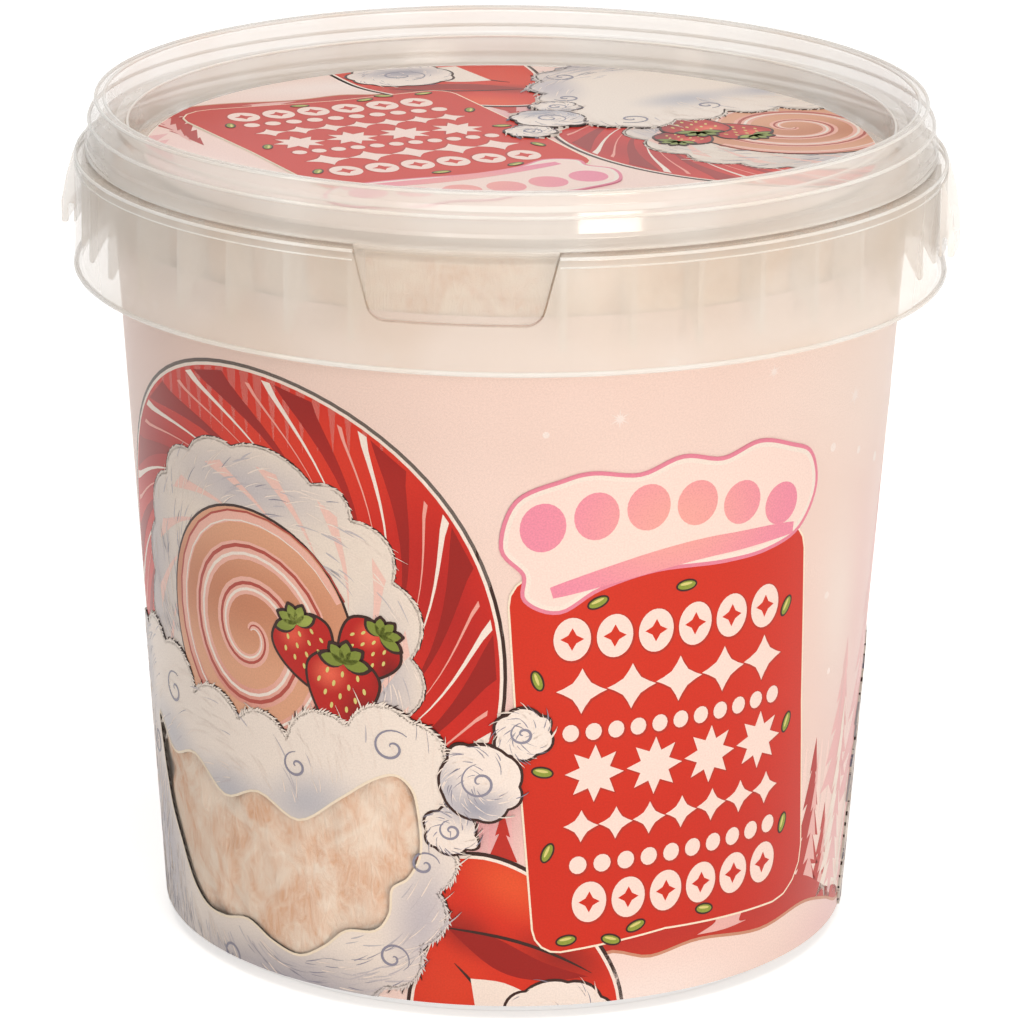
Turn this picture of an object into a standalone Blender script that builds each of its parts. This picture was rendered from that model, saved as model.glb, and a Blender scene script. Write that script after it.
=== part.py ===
"""Tub of cotton candy: a round moulded polypropylene tub with a snap-on lid,
full to the lid. Metres, +Z up, origin at the centre of the base, tear tab
towards -Y, carrying lugs on the X axis.
"""

import math

import bmesh
import bpy
from mathutils import Matrix

MM = 0.001

# Driving dimensions, in millimetres
HEIGHT = 129.9
BASE_RADIUS = 52.9
WALL_SLOPE = 0.0677          # outward lean of the wall, radius per height
WALL = 1.2
FLOOR = 1.0
STAND_LIFT = 1.2             # the floor sits this far above the standing ring
BASE_CORNER = 3.0
STAND_RING = 2.6             # width of the flat standing ring
STAND_BEVEL = 0.8
FLOOR_FILLET = 2.2           # between the floor and the wall inside
EDGE_BEVEL = 0.5             # on every outer edge that a hand meets
FIT_GAP = 0.3                # between pieces that touch

LEDGE_TOP = 121.2            # flat ledge that carries the collar
LEDGE = 1.3
COLLAR_RADIUS = 66.5         # outside, at the ledge
COLLAR_FLARE = 0.25          # extra radius at the collar's lower edge
COLLAR_BOTTOM = 103.6
COLLAR_WALL = 1.1
RIM_TOP = 124.7              # the tub's own rim, inside the lid
RIM_BEAD = 1.4
RIM_BEAD_HEIGHT = 1.2

RIB_COUNT = 40
RIB_THICKNESS = 1.0
RIB_FOOT = 106.2             # where a rib's lower edge meets the collar
RIB_KNEE = (62.95, 111.25)   # radius and height where that edge turns level

TAB_HALF_WIDTH = 14.6        # at the ledge
TAB_TAPER = 0.25             # half width lost per height
TAB_BOTTOM = 111.3
TAB_TOP = 122.0
TAB_CORNER = 2.6
TAB_WALL = 1.1
TAB_SPREAD = 15.0            # half the angle swept before the outline trims it
TAB_LIP = 0.6                # bevel along the tab's top edge

LUG_HALF_WIDTH = 8.3
LUG_RADIUS = 68.7
LUG_TOP = 120.3
LUG_BOTTOM = 109.0
LUG_POCKET = 0.8
LUG_SKIN = 1.1               # plastic left outside the pocket
LUG_SLOPE = 3.8              # height over which the hood slopes out
LUG_BELLY = 3.4

LABEL = 0.35                 # printed film, in a shallow seat in the wall
LABEL_BOTTOM = 3.4
LABEL_TOP = 110.95
DISC_RADIUS = 56.0
PANEL_TOP = 121.4
PANEL_UNDER = 119.9

SKIRT_INSET = 1.6            # the lid's skirt stands this far inside the collar
SKIRT_WALL = 1.2
RING_INSET = 1.5             # the stacking ring stands inside the skirt
RING_BEVEL = 0.4
SKIRT_STEPS = (1.8, 3.0, 5.8, 6.3)  # depths below the top where the skirt steps out
PLUG_FOOT = 1.8              # how far the recess wall leans in at its foot

CANDY_TOP = 119.4
CANDY_DIP = 1.6
CANDY_SHOULDER = 3.0
CANDY_ROUND = 2.6
CANDY_WAVES = (11.0, 9.0, 17.0)   # lengths of the swells on its top

SEGMENTS = 72
CANDY_SEGMENTS = 36
CORNER_STEPS = 3


def clear_scene():
    """Remove every object that the file opened with."""
    for obj in list(bpy.data.objects):
        bpy.data.objects.remove(obj, do_unlink=True)


def material(name, colour, roughness, metallic=0.0):
    """A Principled material; colour is linear red, green and blue."""
    mat = bpy.data.materials.new(name)
    mat.use_nodes = True
    bsdf = mat.node_tree.nodes["Principled BSDF"]
    bsdf.inputs["Base Color"].default_value = (*colour, 1.0)
    bsdf.inputs["Roughness"].default_value = roughness
    bsdf.inputs["Metallic"].default_value = metallic
    return mat


def finish(bm, name, mat, guide=False):
    """Turn a bmesh into a named, smooth-shaded object at the origin."""
    bmesh.ops.remove_doubles(bm, verts=bm.verts, dist=0.00001)
    bmesh.ops.recalc_face_normals(bm, faces=bm.faces)
    mesh = bpy.data.meshes.new(name)
    bm.to_mesh(mesh)
    bm.free()
    mesh.shade_smooth()
    mesh.set_sharp_from_angle(angle=math.radians(35))
    obj = bpy.data.objects.new(name, mesh)
    bpy.context.scene.collection.objects.link(obj)
    if mat:
        mesh.materials.append(mat)
    if guide:
        obj.hide_render = True
        obj.display_type = "WIRE"
    return obj


def arc(centre, radius, start, end, steps):
    """Points along an arc in a flat plane, angles in degrees."""
    turn = [math.radians(start + (end - start) * i / steps) for i in range(steps + 1)]
    return [(centre[0] + radius * math.cos(a), centre[1] + radius * math.sin(a)) for a in turn]


def add_profile(bm, points, closed):
    """Draw a profile of (radius, height) in millimetres; return its edges."""
    verts = [bm.verts.new((r * MM, 0.0, z * MM)) for r, z in points]
    pairs = list(zip(verts, verts[1:]))
    if closed:
        pairs.append((verts[-1], verts[0]))
    return verts, [bm.edges.new(pair) for pair in pairs]


def turned(name, points, mat, segments=SEGMENTS, closed=False):
    """A solid of revolution about Z from a profile."""
    bm = bmesh.new()
    verts, edges = add_profile(bm, points, closed)
    bmesh.ops.spin(
        bm, geom=verts + edges, cent=(0, 0, 0), axis=(0, 0, 1),
        angle=math.tau, steps=segments, use_merge=True,
    )
    return finish(bm, name, mat)


def add_sector(bm, points, half_angle, centre_angle, steps):
    """A closed profile swept through part of a turn, with flat ends."""
    start = bmesh.ops.create_circle(bm, cap_ends=True, radius=1.0, segments=len(points))
    for vert, (r, z) in zip(start["verts"], points):
        vert.co = (r * MM, 0.0, z * MM)
    bmesh.ops.rotate(
        bm, verts=start["verts"], cent=(0, 0, 0),
        matrix=Matrix.Rotation(centre_angle - half_angle, 3, "Z"),
    )
    face = start["verts"][0].link_faces[0]
    bmesh.ops.spin(
        bm, geom=[face], cent=(0, 0, 0), axis=(0, 0, 1),
        angle=2.0 * half_angle, steps=steps, use_merge=False,
    )


def add_prism(bm, outline, depth, placing):
    """A flat outline in X and Z, given depth along Y, then placed."""
    ring = [bm.verts.new((x * MM, -0.5 * depth * MM, z * MM)) for x, z in outline]
    face = bm.faces.new(ring)
    grown = bmesh.ops.extrude_face_region(bm, geom=[face])
    far = [g for g in grown["geom"] if isinstance(g, bmesh.types.BMVert)]
    bmesh.ops.translate(bm, verts=far, vec=(0.0, depth * MM, 0.0))
    bmesh.ops.transform(bm, matrix=placing, verts=ring + far)


def add_boolean(target, tool, operation):
    """Cut or join one object with another, left live."""
    mod = target.modifiers.new(tool.name, "BOOLEAN")
    mod.operation = operation
    mod.solver = "EXACT"
    mod.object = tool


def wall_radius(z, inset=0.0):
    """Radius of the tub's outer wall at a height, less an inset."""
    return BASE_RADIUS + WALL_SLOPE * z - inset


def tub_profile():
    """The tub from the middle of its underside round to the floor inside."""
    seat = LABEL + FIT_GAP
    stand = BASE_RADIUS - BASE_CORNER
    lip = COLLAR_RADIUS - COLLAR_WALL
    floor_top = STAND_LIFT + FLOOR
    ledge_under = LEDGE_TOP - LEDGE
    points = [
        (0.0, STAND_LIFT), (stand - STAND_RING - STAND_BEVEL, STAND_LIFT), (stand - STAND_RING, 0.0),
    ]
    points += arc((stand, BASE_CORNER), BASE_CORNER, -90, 4, CORNER_STEPS)
    points += [
        (wall_radius(LABEL_BOTTOM - FIT_GAP, seat), LABEL_BOTTOM - FIT_GAP),
        (wall_radius(LABEL_TOP + FIT_GAP, seat), LABEL_TOP + FIT_GAP),
        (wall_radius(LABEL_TOP + FIT_GAP), LABEL_TOP + FIT_GAP),
        (wall_radius(ledge_under), ledge_under),
        (lip, ledge_under),
        (lip + COLLAR_FLARE, COLLAR_BOTTOM),
        (COLLAR_RADIUS + COLLAR_FLARE, COLLAR_BOTTOM),
        (COLLAR_RADIUS, LEDGE_TOP - EDGE_BEVEL),
        (COLLAR_RADIUS - EDGE_BEVEL, LEDGE_TOP),
        (wall_radius(LEDGE_TOP), LEDGE_TOP),
        (wall_radius(RIM_TOP), RIM_TOP - RIM_BEAD_HEIGHT - FIT_GAP),
        (wall_radius(RIM_TOP) + RIM_BEAD, RIM_TOP - RIM_BEAD_HEIGHT),
        (wall_radius(RIM_TOP) + RIM_BEAD - EDGE_BEVEL, RIM_TOP),
        (wall_radius(RIM_TOP, WALL), RIM_TOP),
        (wall_radius(floor_top + FLOOR_FILLET, WALL), floor_top + FLOOR_FILLET),
        (wall_radius(floor_top, WALL + FLOOR_FILLET), floor_top),
        (0.0, floor_top),
    ]
    return points


def rib_angles():
    """Ribs stand half a spacing to each side of the tab, none behind it."""
    step = 360.0 / RIB_COUNT
    return [-90.0 + (k + 0.5) * step for k in range(1, RIB_COUNT - 1)]


def make_ribs():
    """Webs that tie the collar to the wall, all in one guide object."""
    inner_low = wall_radius(RIB_KNEE[1], 0.5 * WALL)
    foot = RIB_FOOT - 0.5 * RIB_THICKNESS
    inner_top = wall_radius(LEDGE_TOP, 0.5 * WALL)
    outer = COLLAR_RADIUS - 0.5 * COLLAR_WALL
    top = LEDGE_TOP - 0.5 * LEDGE
    outline = [
        (inner_low, RIB_KNEE[1]), RIB_KNEE, (COLLAR_RADIUS - COLLAR_WALL, RIB_FOOT),
        (outer, foot), (outer, top), (inner_top, top),
    ]
    bm = bmesh.new()
    for angle in rib_angles():
        add_prism(bm, outline, RIB_THICKNESS, Matrix.Rotation(math.radians(angle), 4, "Z"))
    return finish(bm, "rib_guide", None, guide=True)


def make_lugs():
    """Two hooded lugs for a carrying handle, each open underneath."""
    skin = COLLAR_RADIUS - 0.4 * COLLAR_WALL
    hood = [
        (skin, LUG_TOP), (COLLAR_RADIUS + 0.2, LUG_TOP), (LUG_RADIUS - 0.8, LUG_TOP - LUG_SLOPE),
        (LUG_RADIUS, LUG_BOTTOM + LUG_BELLY), (LUG_RADIUS, LUG_BOTTOM + EDGE_BEVEL),
        (LUG_RADIUS - EDGE_BEVEL, LUG_BOTTOM), (skin, LUG_BOTTOM),
    ]
    pocket_out = LUG_RADIUS - LUG_SKIN
    pocket_low = LUG_BOTTOM - COLLAR_WALL
    pocket_top = LUG_BOTTOM + LUG_BELLY - 0.4
    pocket = [
        (pocket_out - LUG_POCKET, pocket_low), (pocket_out, pocket_low),
        (pocket_out, pocket_top), (pocket_out - LUG_POCKET, pocket_top),
    ]
    half = LUG_HALF_WIDTH / COLLAR_RADIUS
    hoods, pockets = bmesh.new(), bmesh.new()
    for centre in (0.0, math.pi):
        add_sector(hoods, hood, half, centre, 4)
        add_sector(pockets, pocket, half * 0.8, centre, 4)
    return finish(hoods, "lug_guide", None, True), finish(pockets, "lug_pocket_guide", None, True)


def tab_outline(grow):
    """The tab seen from the front, grown all round by a clearance."""
    foot = TAB_BOTTOM - grow
    radius = TAB_CORNER + grow
    head = TAB_TOP + 4.0

    def half_width(z):
        return TAB_HALF_WIDTH + grow - TAB_TAPER * (LEDGE_TOP - z)

    lean = math.degrees(math.atan(TAB_TAPER))
    side = half_width(foot + radius) - radius / math.cos(math.radians(lean))
    corner = arc((side, foot + radius), radius, -90, -lean, CORNER_STEPS)
    right = corner + [(half_width(head), head)]
    return right + [(-x, z) for x, z in reversed(right)]


def tab_shaped(name, section, grow, mat, guide):
    """A swept section trimmed to the tab's outline, seen from the front."""
    bm = bmesh.new()
    add_sector(bm, section, math.radians(TAB_SPREAD), math.radians(-90.0), 6)
    body = finish(bm, name, mat, guide)
    trim = bmesh.new()
    add_prism(trim, tab_outline(grow), 30.0, Matrix.Translation((0.0, -60.0 * MM, 0.0)))
    add_boolean(body, finish(trim, name + "_trim_guide", None, True), "INTERSECT")
    return body


def make_tab_opening():
    """The gap in the collar and ledge that the tab sits in."""
    inner = wall_radius(LEDGE_TOP) + FIT_GAP
    outer = COLLAR_RADIUS + 4.0
    section = [
        (inner, TAB_BOTTOM - 2.0), (outer, TAB_BOTTOM - 2.0),
        (outer, LEDGE_TOP + 2.0), (inner, LEDGE_TOP + 2.0),
    ]
    return tab_shaped("tab_opening", section, FIT_GAP, None, True)


def make_tub(mat):
    """Tub wall, floor, ledge and collar, with ribs and lugs moulded on."""
    tub = turned("tub", tub_profile(), mat)
    lugs, pockets = make_lugs()
    add_boolean(tub, make_ribs(), "UNION")
    add_boolean(tub, lugs, "UNION")
    add_boolean(tub, pockets, "DIFFERENCE")
    add_boolean(tub, make_tab_opening(), "DIFFERENCE")
    return tub


def make_tab(mat):
    """The tear tab: a curved tongue with a shelf at its top edge."""
    inner = COLLAR_RADIUS - TAB_WALL
    shelf = wall_radius(LEDGE_TOP) + 2.0 * FIT_GAP
    section = [
        (inner, TAB_BOTTOM - 1.0), (COLLAR_RADIUS, TAB_BOTTOM - 1.0),
        (COLLAR_RADIUS, TAB_TOP - TAB_LIP), (COLLAR_RADIUS - TAB_LIP, TAB_TOP),
        (inner, TAB_TOP), (inner, LEDGE_TOP), (shelf, LEDGE_TOP),
        (shelf, LEDGE_TOP - LEDGE), (inner, LEDGE_TOP - LEDGE),
    ]
    return tab_shaped("tamper_tab", section, 0.0, mat, False)


def make_lid(mat):
    """The lid: sunk panel, plug wall, stacking ring and stepped snap skirt."""
    plug = wall_radius(LEDGE_TOP, WALL) - 1.4 * FIT_GAP
    seat = RIM_TOP + FIT_GAP
    skirt = COLLAR_RADIUS - SKIRT_INSET
    inner = skirt - SKIRT_WALL
    crest, knee, waist, step = (HEIGHT - depth for depth in SKIRT_STEPS)
    points = [
        (0.0, PANEL_TOP - LABEL - FIT_GAP),
        (DISC_RADIUS + FIT_GAP, PANEL_TOP - LABEL - FIT_GAP),
        (DISC_RADIUS + FIT_GAP, PANEL_TOP),
        (plug - PLUG_FOOT, PANEL_TOP + RING_BEVEL),
        (plug - 1.0, seat + 0.6),
        (plug + 0.7, seat + 1.1),
        (plug + PLUG_FOOT, HEIGHT - 2.0 * RING_BEVEL),
        (plug + PLUG_FOOT + 1.0, HEIGHT),
        (skirt - RING_INSET - RING_BEVEL, HEIGHT),
        (skirt - RING_INSET, HEIGHT - RING_BEVEL),
        (skirt - RING_INSET, crest),
        (skirt - 2.0 * RING_BEVEL, knee),
        (skirt - RING_BEVEL, waist),
        (skirt, step),
        (skirt, LEDGE_TOP + FIT_GAP),
        (inner, LEDGE_TOP + FIT_GAP),
        (inner - 0.7, LEDGE_TOP + 3.0 * FIT_GAP),
        (inner - 0.5, seat + 0.2),
        (plug + 0.5, seat),
        (plug, seat - 0.8),
        (plug - 0.3, PANEL_UNDER),
        (0.0, PANEL_UNDER),
    ]
    return turned("lid", points, mat)


def make_wrap_label(mat):
    """The printed sleeve, seated flush in the tub's wall."""
    points = [
        (wall_radius(LABEL_BOTTOM, LABEL), LABEL_BOTTOM), (wall_radius(LABEL_BOTTOM), LABEL_BOTTOM),
        (wall_radius(LABEL_TOP), LABEL_TOP), (wall_radius(LABEL_TOP, LABEL), LABEL_TOP),
    ]
    return turned("wrap_label", points, mat, closed=True)


def make_lid_label(mat):
    """The printed disc, seated flush in the lid's panel."""
    points = [
        (0.0, PANEL_TOP - LABEL), (DISC_RADIUS, PANEL_TOP - LABEL),
        (DISC_RADIUS, PANEL_TOP), (0.0, PANEL_TOP),
    ]
    return turned("lid_label", points, mat)


def make_candy(mat):
    """Spun sugar pressed against the wall, its top softly uneven."""
    low = STAND_LIFT + FLOOR + FIT_GAP
    gap = WALL + 1.5 * FIT_GAP
    shoulder = CANDY_TOP - CANDY_SHOULDER
    points = [
        (0.0, low), (wall_radius(low, gap + CANDY_ROUND), low),
        (wall_radius(low + CANDY_ROUND, gap), low + CANDY_ROUND),
        (wall_radius(shoulder, gap), shoulder), (wall_radius(CANDY_TOP, gap + CANDY_ROUND), CANDY_TOP),
        (40.0, CANDY_TOP), (26.0, CANDY_TOP), (12.0, CANDY_TOP), (0.0, CANDY_TOP),
    ]
    candy = turned("cotton_candy", points, mat, CANDY_SEGMENTS)
    long, short, slant = CANDY_WAVES
    for vert in candy.data.vertices:
        x, y, z = (c / MM for c in vert.co)
        if z > CANDY_TOP - 0.1:
            wave = math.sin(x / long + 0.7) * math.cos(y / short) + math.sin((x - y) / slant)
            vert.co.z -= CANDY_DIP * MM * (0.5 + 0.25 * wave)
    return candy


clear_scene()
tub_plastic = material("tub polypropylene", (0.84, 0.77, 0.69), 0.25)
lid_plastic = material("lid polypropylene", (0.86, 0.80, 0.73), 0.22)
tab_plastic = material("tab polypropylene", (0.85, 0.79, 0.71), 0.25)
candy_sugar = material("spun sugar", (0.87, 0.62, 0.47), 0.95)
label_film = material("printed film", (0.85, 0.62, 0.60), 0.35)
disc_film = material("printed lid film", (0.80, 0.30, 0.25), 0.35)

make_tub(tub_plastic)
make_lid(lid_plastic)
make_tab(tab_plastic)
make_candy(candy_sugar)
make_wrap_label(label_film)
make_lid_label(disc_film)
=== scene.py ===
# %% [markdown]
# # A tub of cotton candy
# The real thing is a thin tub of natural polypropylene, moulded with a deep
# collar, and a snap-on lid with a tear tab. Spun sugar fills it to the lid, and
# shows through the bare plastic and through a clear window in the printed
# sleeve. The solids for weight and contact come from the frame. This script
# puts the finely made, finished pieces in their places.

import math
import random

import bmesh
import bpy
from mathutils import Matrix, Vector, noise


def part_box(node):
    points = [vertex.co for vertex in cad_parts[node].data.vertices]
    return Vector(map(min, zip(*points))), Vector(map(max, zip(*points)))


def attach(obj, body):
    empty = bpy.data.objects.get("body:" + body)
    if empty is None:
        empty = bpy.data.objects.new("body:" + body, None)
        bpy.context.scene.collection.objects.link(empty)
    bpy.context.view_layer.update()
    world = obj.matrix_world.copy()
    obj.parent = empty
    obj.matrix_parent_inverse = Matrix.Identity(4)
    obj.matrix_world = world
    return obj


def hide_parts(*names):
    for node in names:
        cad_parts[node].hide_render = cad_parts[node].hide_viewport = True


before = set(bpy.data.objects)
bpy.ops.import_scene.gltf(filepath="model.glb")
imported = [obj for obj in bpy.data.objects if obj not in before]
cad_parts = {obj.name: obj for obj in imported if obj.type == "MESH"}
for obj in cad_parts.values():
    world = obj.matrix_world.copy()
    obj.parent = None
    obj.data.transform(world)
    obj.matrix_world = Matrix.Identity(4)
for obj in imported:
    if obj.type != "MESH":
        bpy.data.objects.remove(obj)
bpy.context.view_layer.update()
print("frame nodes:", sorted(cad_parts))

# %% [markdown]
# ## Sizes
# All sizes are in millimetres and are turned to metres only when a mesh is
# finished. The heights that other pieces hang on are read from the frame, and
# the rest is worked out from the wall's lean, so the fine pieces lie exactly
# where the solids do.

# %% Driving sizes
MM = 0.001
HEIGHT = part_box("lid")[1].z / MM
LABEL_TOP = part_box("wrap_label")[1].z / MM
LABEL_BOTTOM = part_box("wrap_label")[0].z / MM
PANEL_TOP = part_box("lid_label")[1].z / MM
DISC_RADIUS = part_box("lid_label")[1].x / MM
TAB_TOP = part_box("tamper_tab")[1].z / MM
TAB_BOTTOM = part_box("tamper_tab")[0].z / MM
COLLAR_RADIUS = -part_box("tamper_tab")[0].y / MM
LUG_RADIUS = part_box("tub")[1].x / MM
CANDY_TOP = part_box("cotton_candy")[1].z / MM

BASE_RADIUS = 52.9
WALL_SLOPE = 0.0677          # outward lean of the wall, radius per height
WALL = 1.2
COLLAR_WALL = 1.1
COLLAR_BOTTOM = 103.6
COLLAR_FLARE = 0.25
LEDGE_TOP = 121.2
LEDGE_UNDER = 119.9
RIM_TOP = 124.7
STAND_LIFT = 1.2
FLOOR_TOP = 2.2
PRINT_RADIUS = 57.0          # where the sleeve's flat artwork is true to size
PRINT_STEP = 0.012           # each ink field stands this far above the last


def wall_radius(z, inset=0.0):
    """Radius of the tub's outer wall at a height, less an inset."""
    return BASE_RADIUS + WALL_SLOPE * z - inset


print(f"lid top {HEIGHT:.1f}, sleeve {LABEL_BOTTOM:.1f} to {LABEL_TOP:.1f} mm")

# %% [markdown]
# ## Colours and nodes
# A colour is written as the sRGB hex value that the eye sees, and one function
# turns it to the linear numbers that the renderer adds up. One small function
# adds a node with its settings and its links, so each material below reads as a
# short recipe.

# %% Colour and node helpers
def linear(colour):
    """Linear red, green, blue and alpha from an sRGB hex string."""
    parts = [int(colour[i:i + 2], 16) / 255.0 for i in (1, 3, 5)]
    return (*[c / 12.92 if c <= 0.04045 else ((c + 0.055) / 1.055) ** 2.4 for c in parts], 1.0)


def add(tree, kind, sockets=None, **settings):
    """Add a node; sockets maps an input to a value, or to an output to link."""
    made = tree.nodes.new(kind)
    for key, value in settings.items():
        setattr(made, key, value)
    for socket, value in (sockets or {}).items():
        if isinstance(value, bpy.types.NodeSocket):
            tree.links.new(value, made.inputs[socket])
        else:
            made.inputs[socket].default_value = value
    return made


def new_material(name):
    """A material that holds only a Principled shader and its output."""
    mat = bpy.data.materials.new(name)
    mat.use_nodes = True
    return mat, mat.node_tree, mat.node_tree.nodes["Principled BSDF"]


def blend(tree, factor, low, high, mode="MIX"):
    """Mix two colours; each may be a hex string or an output."""
    low = linear(low) if isinstance(low, str) else low
    high = linear(high) if isinstance(high, str) else high
    mix = add(tree, "ShaderNodeMix", {0: factor, 6: low, 7: high}, data_type="RGBA", blend_type=mode)
    return mix.outputs[2]


print("cream is", [round(c, 3) for c in linear("#F6E7DA")])

# %% [markdown]
# ## Camera
# The camera stands at the height of a person at a table, a little to the right
# of the tear tab, with a long lens so that the tub's sides stay nearly
# parallel. It is rolled by about half a degree.

# %% Camera
CAMERA_TURN = math.radians(6.8)
CAMERA_RISE = math.radians(17.18)
CAMERA_ROLL = math.radians(0.588)
CAMERA_DISTANCE = 882.7
AIM_HEIGHT = 63.15
AIM_SIDE = 0.64

side = Vector((math.cos(CAMERA_TURN), math.sin(CAMERA_TURN), 0.0))
back = Vector((
    math.sin(CAMERA_TURN) * math.cos(CAMERA_RISE),
    -math.cos(CAMERA_TURN) * math.cos(CAMERA_RISE),
    math.sin(CAMERA_RISE),
))
up = back.cross(side)
right = side * math.cos(CAMERA_ROLL) + up * math.sin(CAMERA_ROLL)
top = back.cross(right)
aim = Vector((0.0, 0.0, AIM_HEIGHT * MM)) + side * AIM_SIDE * MM
lens = bpy.data.cameras.new("camera")
lens.lens = 199.7
lens.sensor_width = 36.0
lens.clip_start = 0.05
camera = bpy.data.objects.new("camera", lens)
bpy.context.scene.collection.objects.link(camera)
camera.matrix_world = (
    Matrix.Translation(aim + back * CAMERA_DISTANCE * MM)
    @ Matrix((right, top, back)).transposed().to_4x4()
)
bpy.context.scene.camera = camera
print("camera at", [round(c, 3) for c in camera.location])

# %% [markdown]
# ## Light
# Glossy plastic shows the shape of its lamps, so the studio is laid out for its
# reflections: one upright softbox at the right, whose sharp-edged image lies on
# the lid's skirt, and a narrower one at the left that draws a bright line along
# the rings. A wide overhead and a dim white world fill the shade. The eye sees
# a white room, but only the lamps and a low grey light fall on the object. A
# ray may pass many see-through walls, and only a few bounces are worth their
# time.

# %% Lamps, world and floor
WORLD_LIGHT = 0.38           # how bright the white room is as a light
FLOOR_GLOW = 0.60            # lifts the floor to white where it is seen
ROOM_WHITE = (1.0, 1.0, 1.0, 1.0)


def lamp(name, turn, rise, distance, width, height, watts, colour):
    """A softbox that faces the tub; turn is from -Y towards +X, in degrees."""
    light = bpy.data.lights.new(name, "AREA")
    light.shape = "RECTANGLE"
    light.size = width
    light.size_y = height
    light.energy = watts
    light.color = linear(colour)[:3]
    turn, rise = math.radians(turn), math.radians(rise)
    away = Vector((
        math.sin(turn) * math.cos(rise), -math.cos(turn) * math.cos(rise), math.sin(rise),
    ))
    obj = bpy.data.objects.new(name, light)
    bpy.context.scene.collection.objects.link(obj)
    obj.location = away * distance + Vector((0.0, 0.0, AIM_HEIGHT * MM))
    obj.rotation_euler = away.to_track_quat("Z", "Y").to_euler()


lamp("softbox_right", 32.0, 10.0, 1.2, 0.34, 0.40, 6.1, "#FFF4E8")
lamp("strip_left", -52.0, 16.0, 1.2, 0.20, 0.60, 0.65, "#FFF3E6")
lamp("overhead", 20.0, 76.0, 1.1, 0.9, 0.7, 6.4, "#FFFAF4")

world = bpy.data.worlds.new("studio")
bpy.context.scene.world = world
world.use_nodes = True
room = world.node_tree


def seen(tree):
    """One for rays that see the room, straight, reflected or through; else nothing."""
    rays = add(tree, "ShaderNodeLightPath")
    result = rays.outputs["Is Camera Ray"]
    for ray in ("Is Glossy Ray", "Is Transmission Ray"):
        both = add(tree, "ShaderNodeMath", {0: result, 1: rays.outputs[ray]}, operation="MAXIMUM")
        result = both.outputs[0]
    return result


strength = add(room, "ShaderNodeMix", {0: seen(room), 2: WORLD_LIGHT, 3: 1.0})
shell = room.nodes["Background"]
shell.inputs["Color"].default_value = ROOM_WHITE
room.links.new(strength.outputs[0], shell.inputs["Strength"])

bm = bmesh.new()
bmesh.ops.create_grid(bm, x_segments=1, y_segments=1, size=3.0)
sheet = bpy.data.meshes.new("floor")
bm.to_mesh(sheet)
bm.free()
floor = bpy.data.objects.new("floor", sheet)
bpy.context.scene.collection.objects.link(floor)
paper, tree, shader = new_material("Matt white paper sweep")
shader.inputs["Base Color"].default_value = linear("#F4F2F0")
shader.inputs["Roughness"].default_value = 1.0
shader.inputs["Specular IOR Level"].default_value = 0.0
lift = add(tree, "ShaderNodeMath", {0: seen(tree), 1: FLOOR_GLOW}, operation="MULTIPLY")
shader.inputs["Emission Color"].default_value = ROOM_WHITE
tree.links.new(lift.outputs[0], shader.inputs["Emission Strength"])
sheet.materials.append(paper)
bpy.context.scene.view_settings.view_transform = "Standard"
paths = bpy.context.scene.cycles
paths.transparent_max_bounces = 18
paths.max_bounces = 3
paths.diffuse_bounces = 2
paths.glossy_bounces = 2

# %% [markdown]
# ## Natural polypropylene
# The tub and lid are injection-moulded polypropylene without pigment. The
# crystals in it scatter light, so a thin wall is see-through but milky, and a
# wall seen edge-on turns white. Glass-like refraction would be too clear, and
# an opaque white too solid. An even, partly clear film on both faces of each
# wall adds up as the real thing does. Beads and thick edges are less clear and
# whiter. This is partly real, as thick plastic is milkier, and partly a painted
# highlight that stands in for the bright lines the edges catch. A slow cloudiness
# in the colour and in the gloss comes from the flow in the mould. Its noise has
# one octave, as each ray works it out at many walls.

# %% Plastic
CLOUD_MM = 14.0
PLASTIC_IOR = 1.9            # raised, because the see-through share dims the gloss


def polypropylene(name, colour, cloudy, alpha, roughness):
    """Milky moulded plastic with one even see-through share."""
    mat, tree, shader = new_material(name)
    place = add(tree, "ShaderNodeTexCoord").outputs["Object"]
    cloud = add(tree, "ShaderNodeTexNoise", {"Vector": place, "Scale": 1.0 / (CLOUD_MM * MM),
                                             "Detail": 0.0})
    gloss = add(tree, "ShaderNodeMapRange", {"Value": cloud.outputs[0], 1: 0.35, 2: 0.65,
                                             3: roughness * 0.75, 4: roughness * 1.3})
    tint = add(tree, "ShaderNodeMapRange", {"Value": cloud.outputs[0], 1: 0.38, 2: 0.66})
    tree.links.new(blend(tree, tint.outputs[0], colour, cloudy), shader.inputs["Base Color"])
    tree.links.new(gloss.outputs[0], shader.inputs["Roughness"])
    shader.inputs["IOR"].default_value = PLASTIC_IOR
    shader.inputs["Alpha"].default_value = alpha
    return mat


wall_plastic = polypropylene("Natural polypropylene, moulded wall", "#FBF0E4", "#F3E5D6", 0.12, 0.14)
collar_plastic = polypropylene("Natural polypropylene, collar", "#FFF6EC", "#F8EBDC", 0.36, 0.12)
rib_plastic = polypropylene("Natural polypropylene, collar webs", "#FFFAF2", "#FBF0E3", 0.44, 0.14)
lid_plastic = polypropylene("Natural polypropylene, moulded lid", "#FFFAF4", "#FAF1E8", 0.36, 0.09)
tab_plastic = polypropylene("Natural polypropylene, tear tab", "#FFF8EE", "#FAEFE2", 0.28, 0.12)
# The thick-edge plastic is whiter and more solid: partly real, partly a painted highlight for the bright
# edge lines.
bead_highlight_plastic = polypropylene("Natural polypropylene, thick edges", "#FFFDF9", "#FFF7EE", 0.62, 0.10)
print("plastics:", wall_plastic.name, "|", lid_plastic.name)

# %% [markdown]
# ## Turning
# Every round piece is a profile spun about the tub's axis. Moulded plastic has
# no truly sharp corner, so a helper swaps each corner of a profile for a short
# arc before the spin. A bevel after the spin would give the same shape with
# far more work for the computer.

# %% Turning helpers
TURN_SEGMENTS = 288
CORNER_STEPS = 4
SHARP_DEGREES = 38.0         # edges that turn more than this stay crisp
WELD = 0.0005                # verts closer than this are one


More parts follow.
